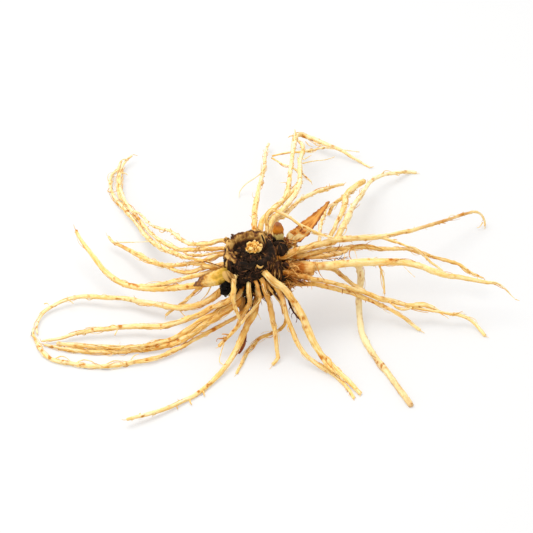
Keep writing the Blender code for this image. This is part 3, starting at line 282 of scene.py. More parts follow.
            (18.8, -16.8, 20.8), (20.4, -18.5, 17.5), (22, -20.4, 14.4), (23.6, -22.4, 11.4),
            (25.6, -24.6, 8.6), (28, -26.6, 6.4), (30.8, -29, 4.7), (34, -32.3, 3.2), (37.2, -36.1, 2),
            (40, -39.5, 1.2), (42.8, -42.9, 0.7),
        )),
        ((0.6, 0.7, 0.6), (
            (20.6, -18.8, 17.2), (22.4, -22.6, 13), (24.4, -24.4, 9.9), (26.8, -27.2, 6.9),
            (29.6, -30.2, 4.4), (33.4, -33.2, 3.1),
        )),
    ),
    "root_front_right_dark": (
        ((0.4, 0.4, 0.35), (
            (10, -9.4, 29), (11.6, -10.5, 27), (13.6, -11.2, 24), (14.8, -12, 20.5), (16.4, -12.7, 17.5),
            (18.8, -13.8, 15),
        )),
    ),
    "root_right_upper": (
        ((1.3, 1.3, 1.2, 0.85, 0.75, 0.65, 0.4), (
            (10.8, 1.9, 34), (14.4, 4.1, 34.5), (18.4, 6.7, 34.5), (23.2, 9.9, 34), (28.4, 13.7, 33),
            (34.4, 17.5, 31.5), (40.8, 20.9, 29.5), (47.2, 24.4, 27), (53.6, 29.4, 24), (60, 35.4, 21),
            (66.4, 41.4, 18), (73.2, 48.7, 15), (79.2, 54.7, 12.5), (84.4, 60, 10.5), (88.4, 63.5, 9),
            (91.2, 65.2, 6.5), (92.8, 65.4, 3.2), (93.1, 64.5, 0.4),
        )),
        ((0.5, 0.5, 0.45), (
            (47.2, 24.4, 27), (51.6, 26.8, 24.8), (55.2, 27.1, 23.2), (58.4, 27.1, 21.9),
            (61.6, 26.1, 20.9), (64.8, 25.4, 20), (68.4, 23.5, 18), (71.2, 21.3, 16.5), (73.6, 20.8, 14.8),
            (76, 19.4, 13.4),
        )),
    ),
    "root_right_matted": (
        ((1.0, 1.1, 0.75, 0.9, 0.6, 0.7, 0.35), (
            (13.6, 4, 31.5), (17.6, 5.7, 31.5), (21.6, 7.8, 31.5), (26.4, 11, 30.5), (31.2, 14.5, 29),
            (35.6, 16.8, 27.5), (39.2, 18.6, 26.3), (42.4, 21, 25), (46.4, 22.4, 23.7), (50.8, 23.3, 22.2),
            (56, 25.1, 20.5), (60.8, 27, 19), (65.2, 26.8, 17.6), (69.6, 26.7, 16.2), (74.4, 26.4, 14.6),
            (78.8, 26.5, 13), (82, 26.5, 12), (84.8, 24.9, 11), (88, 22.8, 9.8), (92, 21.3, 8.5),
        )),
        ((0.7, 0.9, 0.95, 0.85, 0.6), (
            (20.4, 7.4, 30.4), (23.2, 8.6, 29.3), (27.2, 10.6, 28.5), (31.2, 12.4, 27.8), (34.6, 14, 27.2),
            (37.6, 16.8, 26.6),
        )),
    ),
    "root_right_main": (
        ((1.6, 1.6, 1.75, 1.6, 1.6, 1.25, 1.05, 0.75, 0.4), (
            (10.4, 2.4, 31), (18.4, 3.6, 29.5), (24.8, 4.3, 28.5), (30.4, 5.2, 28), (36.4, 6.8, 27.5),
            (42.4, 8.4, 27), (48.4, 9.3, 26.5), (54.4, 10.5, 25.8), (60.4, 10.8, 25), (66.4, 9.8, 24),
            (71.6, 8.2, 22.8), (76.8, 7.2, 21.5), (82.4, 7.8, 20), (88, 7.8, 18.5), (93.2, 8.1, 17),
            (97.2, 8.7, 16), (101.2, 6.9, 13.6), (104.8, 4.7, 11),
        )),
        ((0.4, 0.35), (
            (50, 9.9, 25.4), (51.4, 9.1, 20.5), (52, 7.7, 16.5), (52.4, 4.6, 13.6),
        )),
    ),
    "root_right_lower_upper": (
        ((1.0, 1.0, 0.9, 0.8, 1.1, 0.6, 0.7, 0.7), (
            (12, -4, 32), (16.8, -4, 30.5), (22.4, -2.5, 28), (28, -0.3, 24.5), (33.6, 2.4, 20.5),
            (39.2, 3.6, 17.5), (44.8, 4.5, 14.5), (50.4, 4.1, 12), (54.4, 5.3, 10), (59.2, 4.6, 8.8),
            (64, 3.6, 7.8), (68.4, 3.3, 7), (73.6, 2.7, 6.2), (78.4, 2.3, 5.5), (82.4, 2.1, 5), (86, 1, 4),
            (89.2, -1.1, 2.3), (92.8, -5.8, 0.5),
        )),
        ((0.4, 0.95, 1.1, 0.75, 0.35), (
            (60.4, 4, 9), (64.4, 3.9, 8.8), (67.6, 4.5, 8.5), (70.6, 4.1, 7.8), (74.4, 3, 6.4),
        )),
        ((0.4, 0.5, 0.4), (
            (54, 4.6, 10.2), (57, 1.9, 9.3), (60, 1, 8.8), (63.4, 3, 8),
        )),
        ((1.0, 1.0, 0.8), (
            (8, 7, 26), (16, 9.5, 24), (24, 11.6, 22), (31.2, 12, 21), (34.4, 11, 19), (38, 9, 16.8),
            (41.6, 6.6, 15.4), (45.6, 4.6, 14),
        )),
    ),
    "root_right_lower": (
        ((1.05, 1.05, 0.9, 0.8, 0.7), (
            (12, -3.8, 26), (17.6, -2.3, 24.5), (23.2, 0.2, 22.5), (28.8, 2, 19.8), (34.4, 3.3, 17),
            (40, 4.2, 14.2), (45.2, 4.4, 11.5), (50.4, 3.7, 9), (55.2, 2.9, 6.8), (59.6, 1.2, 4.8),
            (62.8, 0.1, 2.4), (66.8, -2.4, 0.5),
        )),
    ),
    "root_back_left_straight": (
        ((1.2, 1.2, 0.9, 0.8, 0.7, 0.5), (
            (0.5, 9, 34), (0.2, 19.9, 36.5), (0.2, 28.8, 35), (0.6, 38.3, 32.5), (1.4, 49, 29),
            (2.2, 60.5, 24.5), (3, 71.2, 20), (3.8, 81.9, 15.5), (4.3, 94, 11), (4.6, 103.4, 7.5),
            (5.2, 109.8, 5), (6, 115.5, 3),
        )),
    ),
    "root_back_pair": (
        ((1.25, 1.2, 1.05, 0.95, 0.8, 1.2, 0.9, 0.4), (
            (1.4, 12, 34), (3.2, 24.3, 35), (5.6, 29.4, 35), (8.4, 35.1, 34), (11.6, 42.1, 32),
            (13.6, 51.6, 29), (14.3, 63.7, 25), (14.7, 75.1, 21), (15.3, 86.5, 17), (15.8, 97.9, 13),
            (16.1, 106.7, 10), (16.6, 112.6, 8), (17.8, 116.9, 6.5), (19.8, 118, 5.5), (22.3, 117.1, 5),
            (25.1, 115.2, 5), (27.9, 113.3, 5), (30.8, 111.7, 4.8), (33.7, 110.8, 4.2), (36.6, 109.2, 3.5),
            (39.4, 107.6, 2.4), (42.2, 106.4, 1.3), (44.6, 105, 0.5), (47, 102.9, 0.4),
        )),
        ((1.1, 1.1, 1.0, 0.85, 0.65), (
            (3, 9, 32), (7.2, 27.4, 33), (10, 31.9, 33), (12.8, 37.6, 32), (15.2, 45.3, 30),
            (17.2, 54.8, 27), (18.5, 65.5, 23.5), (18.5, 76.3, 20), (18.5, 87.7, 16), (19.4, 96.6, 13),
            (19.7, 102.3, 11), (18.9, 108, 9), (16.8, 112.3, 7.9),
        )),
        ((0.35, 0.4, 0.35), (
            (7.2, 97.2, 11), (10.8, 97.2, 12), (14.8, 97.2, 13), (18.8, 98, 12.6), (22.8, 101.6, 10.5),
            (26.8, 106, 8), (30.4, 110.4, 5),
        )),
        ((0.7, 0.95, 0.95, 0.8), (
            (18.4, 67.5, 22.8), (17.4, 61.6, 24.8), (15.4, 54.8, 27), (12.6, 45.2, 30.4), (9.6, 36.8, 33),
        )),
        ((0.35, 0.4, 0.35), (
            (7.2, 93.4, 13), (11.2, 85.2, 16.5), (14.4, 80.2, 19), (17.6, 76.3, 20), (20, 75.6, 18.5),
            (23.2, 73.6, 16),
        )),
    ),
    "root_back_right_arm": (
        ((1.4, 1.3, 1.0, 0.85, 0.8, 0.7, 0.6), (
            (5, 9, 30), (8.8, 29.9, 31), (11.6, 33.8, 31), (14.4, 39.5, 30), (17.2, 45.2, 28.5),
            (20.4, 50.9, 26.5), (23.6, 56.6, 24), (26.4, 61.6, 21.5), (29.6, 67, 18.5), (32.4, 71.4, 16),
            (36, 76.2, 13),
        )),
    ),
    "root_top_arch": (
        ((1.0, 0.9, 0.6, 0.6, 0.6, 0.45), (
            (4.6, 9.6, 38.5), (5.2, 11.6, 40), (5.2, 13.6, 42), (5.2, 15, 44.5), (6.4, 16.3, 46),
            (8.4, 17, 46.5), (10.4, 16.6, 46), (14.4, 15.6, 44), (18.4, 14.2, 41.5), (22.4, 14.2, 39),
            (26.4, 14.1, 37), (30.4, 14.3, 35.3), (32, 14.6, 34.4),
        )),
    ),
    "root_back_right_pale": (
        ((0.6, 0.6, 0.6, 0.5), (
            (9, 11, 27), (16, 17, 25), (25.4, 24, 23.6), (26.4, 32.9, 22.6), (27.2, 42.4, 20.5),
            (28.2, 51.3, 18), (29.6, 59, 15), (31.2, 63.6, 12.6), (33.4, 66.4, 10.4),
        )),
    ),
    "root_back_right_forked": (
        ((0.85, 0.85, 0.8, 0.9, 1.35, 1.1), (
            (8, 9, 30), (16.8, 11.5, 30.4), (22.8, 14.6, 30), (27.2, 17.6, 29.2), (29.8, 20.8, 28.4),
            (31.2, 25.8, 27.2), (32.4, 33.6, 25), (34, 41.8, 22.5), (35.6, 50.7, 19.5), (36.4, 57, 17.5),
            (36.6, 63.4, 15.5), (37.4, 68.7, 13.8), (38.8, 72.9, 12.5), (40.8, 77.3, 11), (42.8, 81.4, 9.5),
            (44.4, 85.5, 7.4),
        )),
        ((0.8, 0.7, 0.6), (
            (38, 70.6, 13.2), (36.4, 68.8, 12.8), (34.8, 68.4, 11.5), (32.8, 70.2, 8.5), (31.2, 71.4, 4.5),
            (30, 72, 0.5),
        )),
    ),
    "root_back_right_long": (
        ((1.2, 1.25, 1.35, 1.2, 0.95, 0.8, 0.75, 0.65), (
            (9, 8, 30), (14, 12, 28.5), (20.5, 16.4, 27.6), (27.2, 20.3, 27), (31.6, 23.6, 26.2),
            (34, 27.8, 25.7), (35.3, 33, 24.9), (37.5, 42.5, 22), (39, 52, 19), (40.8, 60.8, 16),
            (42.9, 68.4, 13.5), (45, 76.1, 11), (46.5, 82.2, 9), (48.3, 86.6, 7.5), (50.9, 90.4, 6),
            (54, 93.2, 5), (57.2, 95, 4), (60.4, 98, 2.2), (63.6, 99.7, 0.8), (65.8, 99.5, 0.5),
        )),
    ),
    "stolon": (
        ((1.4, 1.4, 1.4, 1.35, 1.3, 1.3, 1.25, 1.25), (
            (12, 6.2, 27), (20, 7.2, 26.3), (28, 8.7, 25.6), (34, 10, 25), (38.4, 11.3, 24.2),
            (41, 12.3, 22.8), (42.2, 12.9, 20), (42.7, 12.8, 16.6), (42.7, 12.4, 12.6), (42.1, 10, 9),
            (42.2, 6.1, 6), (42.4, 1.2, 3.4), (43.2, -4.5, 1.8), (44.8, -10.7, 1.1), (47.6, -17.6, 1),
            (51.6, -25.9, 1), (56, -35.5, 1), (60, -44.4, 1), (63, -50.8, 1),
        )),
    ),
}

# Solids that stand among the roots, as radii and points: the two buds and the cut shoot
BUDS = {
    "bud_left": (
        (2.6, 3.0, 2.8, 1.9, 0.5),
        [(-9, -3.6, 32.6), (-12.5, -4.6, 30.8), (-16.4, -3.4, 28), (-20.6, -1.6, 25), (-24.4, 0, 22)],
    ),
    "bud_top": (
        (2.0, 2.4, 2.5, 2.3, 1.0),
        [(9.4, 7.6, 35.5), (9.5, 8.6, 38.5), (9.6, 9.1, 41.5), (9.6, 9.2, 44.6), (9.5, 9, 47.2)],
    ),
}
CUT_SHOOT = ((10.4, 0.4, 30.8), (24.4, 0.2, 29.8))
CUT_SHOOT_HALF_WIDTH = 2.35
CUT_SHOOT_HALF_THICKNESS = 1.0
CUT_SHOOT_WIDTH_DIRECTION = (0.0, 0.62, 0.78)

# The leaf sheath: stations along it as a middle point, half the width, and how far its sides fold up
SHEATH_STATIONS = (
    ((14.0, 10.4, 35.4), 2.3, 0.8),
    ((16.0, 11.8, 35.9), 3.4, 1.5),
    ((18.6, 14.2, 36.4), 3.5, 1.4),
    ((21.3, 18.1, 36.9), 2.8, 1.0),
    ((23.8, 22.4, 37.1), 2.2, 0.8),
    ((26.3, 27.2, 37.1), 1.65, 0.6),
    ((28.6, 31.8, 37.0), 1.0, 0.3),
    ((30.2, 35.0, 36.9), 0.4, 0.1),
)

# How much of the blade's half width roots are kept clear of, half its drawn thickness, and its lanes
SHEATH_ROOM = 0.9
SHEATH_HALF = 0.154
SHEATH_LANES = 25
SHEATH_ENDS = (np.array(SHEATH_STATIONS[0][0]), np.array(SHEATH_STATIONS[-1][0]))
UPWARD = np.array((0, 0, 1.0))

# Colours
STRAW_STOPS = (
    (0.0, "#522304"), (0.2, "#A8600F"), (0.4, "#D89A38"), (0.58, "#EDC06A"), (0.78, "#F7DB9A"),
    (1.0, "#FCEECB"),
)
BARK_STOPS = (
    (0.0, "#100904"), (0.3, "#24180D"), (0.48, "#402716"), (0.62, "#5E3620"), (0.8, "#96692F"),
    (1.0, "#CFA45E"),
)
PITH_STOPS = ((0.0, "#7E3C04"), (0.36, "#B46C10"), (0.68, "#DFA440"), (1.0, "#F4D28A"))
AMBER_STOPS = (
    (0.0, "#20150D"), (0.22, "#4A3820"), (0.3, "#B08E42"), (0.46, "#D0B46A"), (0.51, "#8A4604"),
    (0.6, "#D07C08"), (0.76, "#B86A08"), (0.88, "#A8683A"), (1.0, "#7A4630"),
)
OLIVE_STOPS = (
    (0.0, "#8A6C20"), (0.16, "#BE9830"), (0.32, "#DDAA40"), (0.5, "#EBC77C"), (0.64, "#C88A34"),
    (0.76, "#8A5A30"), (1.0, "#5C3C2C"),
)
SHEATH_STOPS = ((0.0, "#7A3E14"), (0.3, "#BC7228"), (0.52, "#DB9C4A"), (0.74, "#C09550"), (1.0, "#DABF84"))
RUST_STOPS = ((0.0, "#3E1E0C"), (0.25, "#743A12"), (0.5, "#A8621F"), (0.75, "#CC8C3C"), (1.0, "#E4B468"))
SOIL_STOPS = ((0.0, "#080605"), (0.5, "#17110D"), (0.8, "#2C2019"), (1.0, "#6F6A50"))
STALK_STOPS = ((0.0, "#8A5226"), (0.3, "#BE8A5A"), (0.6, "#D5A874"), (0.85, "#EBCF92"), (1.0, "#F4E3B0"))
SHOOT_STOPS = ((0.0, "#4A260E"), (0.25, "#8E541E"), (0.5, "#C68C40"), (0.75, "#E2B468"), (1.0, "#F0D498"))
DEAD_STOPS = ((0.0, "#1E0F09"), (0.35, "#522614"), (0.65, "#94491F"), (1.0, "#BE7A3C"))

# What a material's colour is multiplied by where it is stained, and on roots near the crown where shade is
# painted
STAIN_AND_SHADE = "#CC9442"
STALK_STAIN = "#C89468"
RUST_STAIN = "#B07040"
SHEATH_STAIN = "#C88A4C"
BARK_STAIN = "#0C0806"
SOIL_STAIN = "#050403"

# How strongly stains, painted shade and dark specks show, how fine pores and patches are, and how light
# passes into roots
STAIN_AND_SHADE_GAIN = 1.7
SPECK_STAIN = 0.4
PORE_SCALE = 3.1
PATCH_SCALE = 0.22
GLOW_RADIUS = (1.0, 0.55, 0.2)
GLOW_DEPTH = 0.5

# The studio: its surroundings, its floor, and its lights as name, place, size, power and colour
WHITE = (1.0, 1.0, 1.0, 1.0)
SURROUNDINGS = 0.88
FLOOR_COLOUR = "#ADADAD"
FLOOR_GLOW = 0.42
FLOOR_REACH = 4.0
FLOOR_DEPTH = -0.02
LIGHTS = (
    ("key", (-0.24, 0.05, 0.85), 0.7, 5.0, (1.0, 0.985, 0.96)),
    ("fill", (-0.5, -0.7, 0.6), 0.8, 1.0, (1.0, 1.0, 1.0)),
)

# Large odd numbers that turn a cell of the noise, and its seed, into the cell's own value
CELL_KEYS = np.array((374761, 668265, 214013))
SEED_KEY = 974711
MIX_KEYS = ((11, 127412617), (13, 33149))

# How finely things are drawn, how thin and how low they may be, and directions that set how tubes are turned
BARREL_STEP = 0.26
BARREL_SIDES = 210
LOBE_SIDES = 96
OUTLINE_STEP = 0.3
FLAKE_STEP = 0.4
THINNEST = 0.05
LOWEST_ROOTLET = 0.15
NEARLY_ALONG = 0.05
OTHER_HINT = (1.0, 0.2, 0.0)
TOWARDS_VIEW = (0.0, -0.6, 0.8)

# What roots have in common: their skin, their sway, the hidden stretch that has no knots, how abruptly and
# how much they thin to a thread, how brown they are at knots and in blotches, and where painted shade and
# soil staining darken them near the crown
ROOT_SKIN = {"furrow": 0.19, "swell": 0.07, "rounding": 0.6, "relief": 0.07, "cell": 0.7, "spotted": True}
ROOT_WAVER = 0.1
HIDDEN_STRETCH = 12
THREAD_STEP = 0.02
THREAD_LOSS = 0.6
KNOT_BROWN = 0.65
LONG_STUBS = 0.04
CROWN_MIDDLE = (1.0, 0.5)
CROWN_REACH = 11.5
CROWN_FADE = 5.0
BLOTCH_SIZE = 1.7
BLOTCH_STAIN = 0.6

# The skins of the rootlets, the pith's spikes and the cut shoot, and how strips of bark taper
STRAY_SKIN = {"furrow": 0.12, "swell": 0.2, "relief": 0.06, "cell": 0.5}
SPIKE_SKIN = {"tone": (0.25, 0.6, 0.85), "furrow": 0.4, "relief": 0.3, "cell": 0.8}
CUT_SHOOT_SKIN = {
    "tone": (0.45, 0.5, 0.62, 0.55),
    "furrow": 0.14,
    "swell": 0.05,
    "rounding": 0.25,
    "relief": 0.3,
    "cell": 1.1,
    "spotted": True,
}
STRIP_TAPER = (0.5, 0.9, 1.0, 1.0, 0.8, 0.5, 0.25)
FIBRE_TAPER = (0.8, 1.0, 1.0, 0.9, 0.7, 0.45, 0.2)
STRIP_SQUASH = 0.35

# The barrel's relief, how far its rim drops in front, how high its hollow is filled there, and the width of
# the rim's dark edge as a share of the outline
BARREL_FURROWS = 0.55
BARREL_LUMPS = 0.25
BARREL_GRIT = 0.12
FRONT_LUMPS = 0.55
RIM_HEIGHTS = (38.5, 42.0)
FRONT_DROP = 1.3
FILL_HEIGHT = 40.9
FILL_SLOPE = 0.22
EDGE_WIDTH = 0.012

# What seeds the random draws, and how many strips, fibres, crumbs, chips, grains and flakes are strewn
SEEDS = {"bark": 41, "mats": 77, "strays": 5, "pith": 7, "soil": 9, "sheath": 12}
FRONT_STRIPS = 520
RIGHT_STRIPS = 46
LOBE_FIBRES = 90
BARK_CRUMBS = 170
PITH_CHIPS = 60
SOIL_GRAINS = 90
BASE_FLAKES = 34
COLLAR_FLAKES = 26
DARK_FLAKES = 16

# Where flakes lie round the sheath's base and down the top bud's side, how far matted fibres stray from the
# way they lean, and the paler grains at the underside of the soil crumb
COLLAR_BOX = ((12.8, 7.6, 33.6), (17.2, 10.8, 35.4))
DARK_BOX = ((11.8, 8.4, 35.4), (13.6, 10.2, 38.6))
MAT_SPREAD = (0.9, 0.6, 0.35)
PALE_SOIL = 0.9
PALE_BELOW = -0.74

# Each root's look: tones from its base to its tip, how many knots and peeled fibres it has for each
# millimetre, how many knots keep a stub, how many threads its tip frays into, how far painted shade and soil
# staining darken it at the crown, how brown it is all along, and from what share of its length it is only a
# thread
COMMON_LOOK = {
    "tone": (0.5, 0.58, 0.62, 0.64, 0.64, 0.66),
    "knots": 0.2,
    "peel": 0.2,
    "stubs": 0.6,
    "fray": 1,
    "brown": 0.55,
    "age": 0.0,
    "thread_from": 1,
}
# Painted light: the roots at the back get paler tones, as do the top arch and the forked root at the back
# right, to stand for the strong light on them.
PAINTED_LIGHT_TONES = (0.52, 0.64, 0.74, 0.78, 0.78, 0.8)
LOOKS = {
    "root_back_left_upper": {"tone": PAINTED_LIGHT_TONES, "peel": 0.3},
    "root_back_left_middle": {"tone": PAINTED_LIGHT_TONES, "peel": 0.45, "knots": 0.35},
    "root_back_left_torn": {"tone": PAINTED_LIGHT_TONES, "peel": 0.5, "knots": 0.4},
    "root_back_left_straight": {"tone": PAINTED_LIGHT_TONES},
    "root_back_pair": {"tone": PAINTED_LIGHT_TONES},
    "root_top_arch": {"tone": (0.5, 0.6, 0.66, 0.68, 0.62, 0.7), "peel": 0.35},
    "root_back_right_arm": {"tone": PAINTED_LIGHT_TONES},
    "root_back_right_pale": {"tone": PAINTED_LIGHT_TONES},
    "root_back_right_forked": {"tone": (0.5, 0.6, 0.66, 0.7, 0.66, 0.66), "peel": 0.35},
    "root_back_right_long": {"tone": PAINTED_LIGHT_TONES},
    "root_left_fork": {"peel": 0.35, "knots": 0.35},
    "root_loop_upper": {"peel": 0.25, "knots": 0.25, "tone": (0.52, 0.62, 0.68, 0.72, 0.74, 0.78)},
    "root_loop_outer": {"peel": 0.4, "knots": 0.25, "tone": (0.5, 0.56, 0.62, 0.68, 0.75, 0.8)},
    "root_left_bundle": {"peel": 0.8, "age": 0.08, "tone": (0.48, 0.52, 0.54, 0.58, 0.67, 0.72)},
    "root_left_low": {"peel": 0.4, "tone": (0.5, 0.58, 0.62, 0.66, 0.7, 0.74)},
    "stolon": {"peel": 0.1, "stubs": 0.1, "fray": 0, "brown": 0.0, "tone": (0.85, 0.9, 0.92, 0.9, 0.8, 0.72)},
    "root_floor": {"peel": 0.35, "tone": (0.5, 0.52, 0.5, 0.6, 0.66, 0.7)},
    "root_right_upper": {"brown": 0.8, "tone": (0.5, 0.6, 0.66, 0.68, 0.7, 0.7)},
    "root_right_matted": {"peel": 0.9, "knots": 0.6, "age": 0.1, "brown": 1.0},
    "root_right_main": {"thread_from": 0.9, "brown": 1.0, "tone": (0.5, 0.6, 0.66, 0.68, 0.7, 0.7)},
    "root_right_lower_upper": {"brown": 1.0, "tone": (0.48, 0.58, 0.64, 0.66, 0.68, 0.7)},
    "root_right_lower": {"brown": 1.0, "tone": (0.4, 0.5, 0.58, 0.64, 0.68, 0.7)},
    "root_front_dead": {"peel": 0.1},
    "root_front_short": {"brown": 0.25},
    "root_front_right_thick": {"brown": 0.2},
    "root_front_right_dark": {"tone": (0.15, 0.2, 0.2, 0.25), "peel": 0.3},
}

# Each bud's radii as a share of its solid's, and its look
BUD_LOOKS = {
    "bud_left": (
        (1.0, 1.0, 1.0, 1.0, 0.55),
        {
            "tone": (0.06, 0.2, 0.33, 0.47, 0.67, 0.8, 0.95),
            "relief": 0.5,
            "cell": 1.9,
            "creased": True,
            "shade": 0.07,
        },
    ),
    "bud_top": (0.88, {"tone": (0.02, 0.22, 0.43, 0.7, 0.98), "relief": 0.32, "cell": 1.3, "shade": 0.03}),
}

# Brown spots on the roots, as seen from the front: how far right and up in that view, width and strength
SPOTS = (
    (-46.8, 43.7, 1.1, 0.8), (-52, 34, 2.2, 0.5), (-24, 38, 2.4, 0.4), (-48, 44.9, 0.8, 0.7),
    (-38.8, -7.1, 0.8, 1), (-42.4, -7.5, 0.8, 0.8), (-30.4, -4.7, 0.7, 0.8), (-53.6, 0.9, 0.8, 1),
    (-33.6, 12.9, 0.7, 0.7), (-16, -0.3, 0.9, 0.9), (32.4, 52.5, 0.6, 0.8), (-6.4, 1.3, 0.8, 0.9),
    (-71.2, 39.7, 0.9, 0.9), (27.8, 24.9, 0.9, 0.9), (15.2, 57.1, 0.9, 0.8), (20, 76.9, 0.9, 0.7),
    (23.2, 75.3, 0.9, 0.8), (25.6, 74.1, 0.8, 0.7), (15.6, 10.9, 0.8, 1), (12.2, 9.1, 0.7, 0.8),
    (19.6, 4.1, 0.8, 0.9), (20.6, 0.4, 0.7, 0.7), (26.8, -11.9, 1, 0.9), (-25.2, -20.2, 0.7, 0.6),
    (12.6, 22, 1.4, 0.7), (-9, 32, 1.2, 0.6), (19.2, 22.4, 1.6, 0.6), (36, 23.6, 0.7, 0.5),
    (18.4, 24.3, 2.3, 0.95), (15.6, 22.4, 2, 0.9), (13.6, 24.6, 1.6, 0.7), (21, 20.4, 1.5, 0.6),
    (68.4, 42.7, 3.6, 0.4), (76.4, 44.6, 4.6, 0.5), (84, 46.8, 3, 0.6), (55, 27.6, 0.7, 0.6),
)

# Where brown fibres are matted, partly as painted shade in the dark between root bases: how many, between
# which corners, how long and thick, and which way they lean
MATS = (
    (150, (9.5, -6, 27), (16, 3, 33.5), 5.5, 0.3, (1.6, -0.1, -0.25)),
    (90, (11, -4.2, 25.6), (15.6, 0.5, 28), 3.8, 0.36, (1.8, 0, 0.05)),
    (45, (15, -5.5, 25.5), (22, 4, 29.5), 4.5, 0.22, (1.2, 0.1, -0.1)),
    (60, (14, 6, 27), (21, 11, 31), 4.5, 0.26, (1.4, 0.3, -0.1)),
    (45, (20, 7, 26), (36, 14, 28.5), 3.5, 0.18, (1.4, 0.3, 0)),
    (70, (9, -8.5, 24.5), (14, -5, 28), 4.5, 0.3, (1.2, -0.5, -0.6)),
    (80, (-8, -9.5, 23), (6, -5, 27.5), 5, 0.28, (0, -0.6, -1.2)),
    (50, (-9, 6, 33), (8, 11, 38), 3.5, 0.24, (0.2, 0.5, 0.8)),
    (30, (12, 6, 34), (16, 11, 37.5), 3, 0.24, (0.7, 0.4, 0.4)),
)

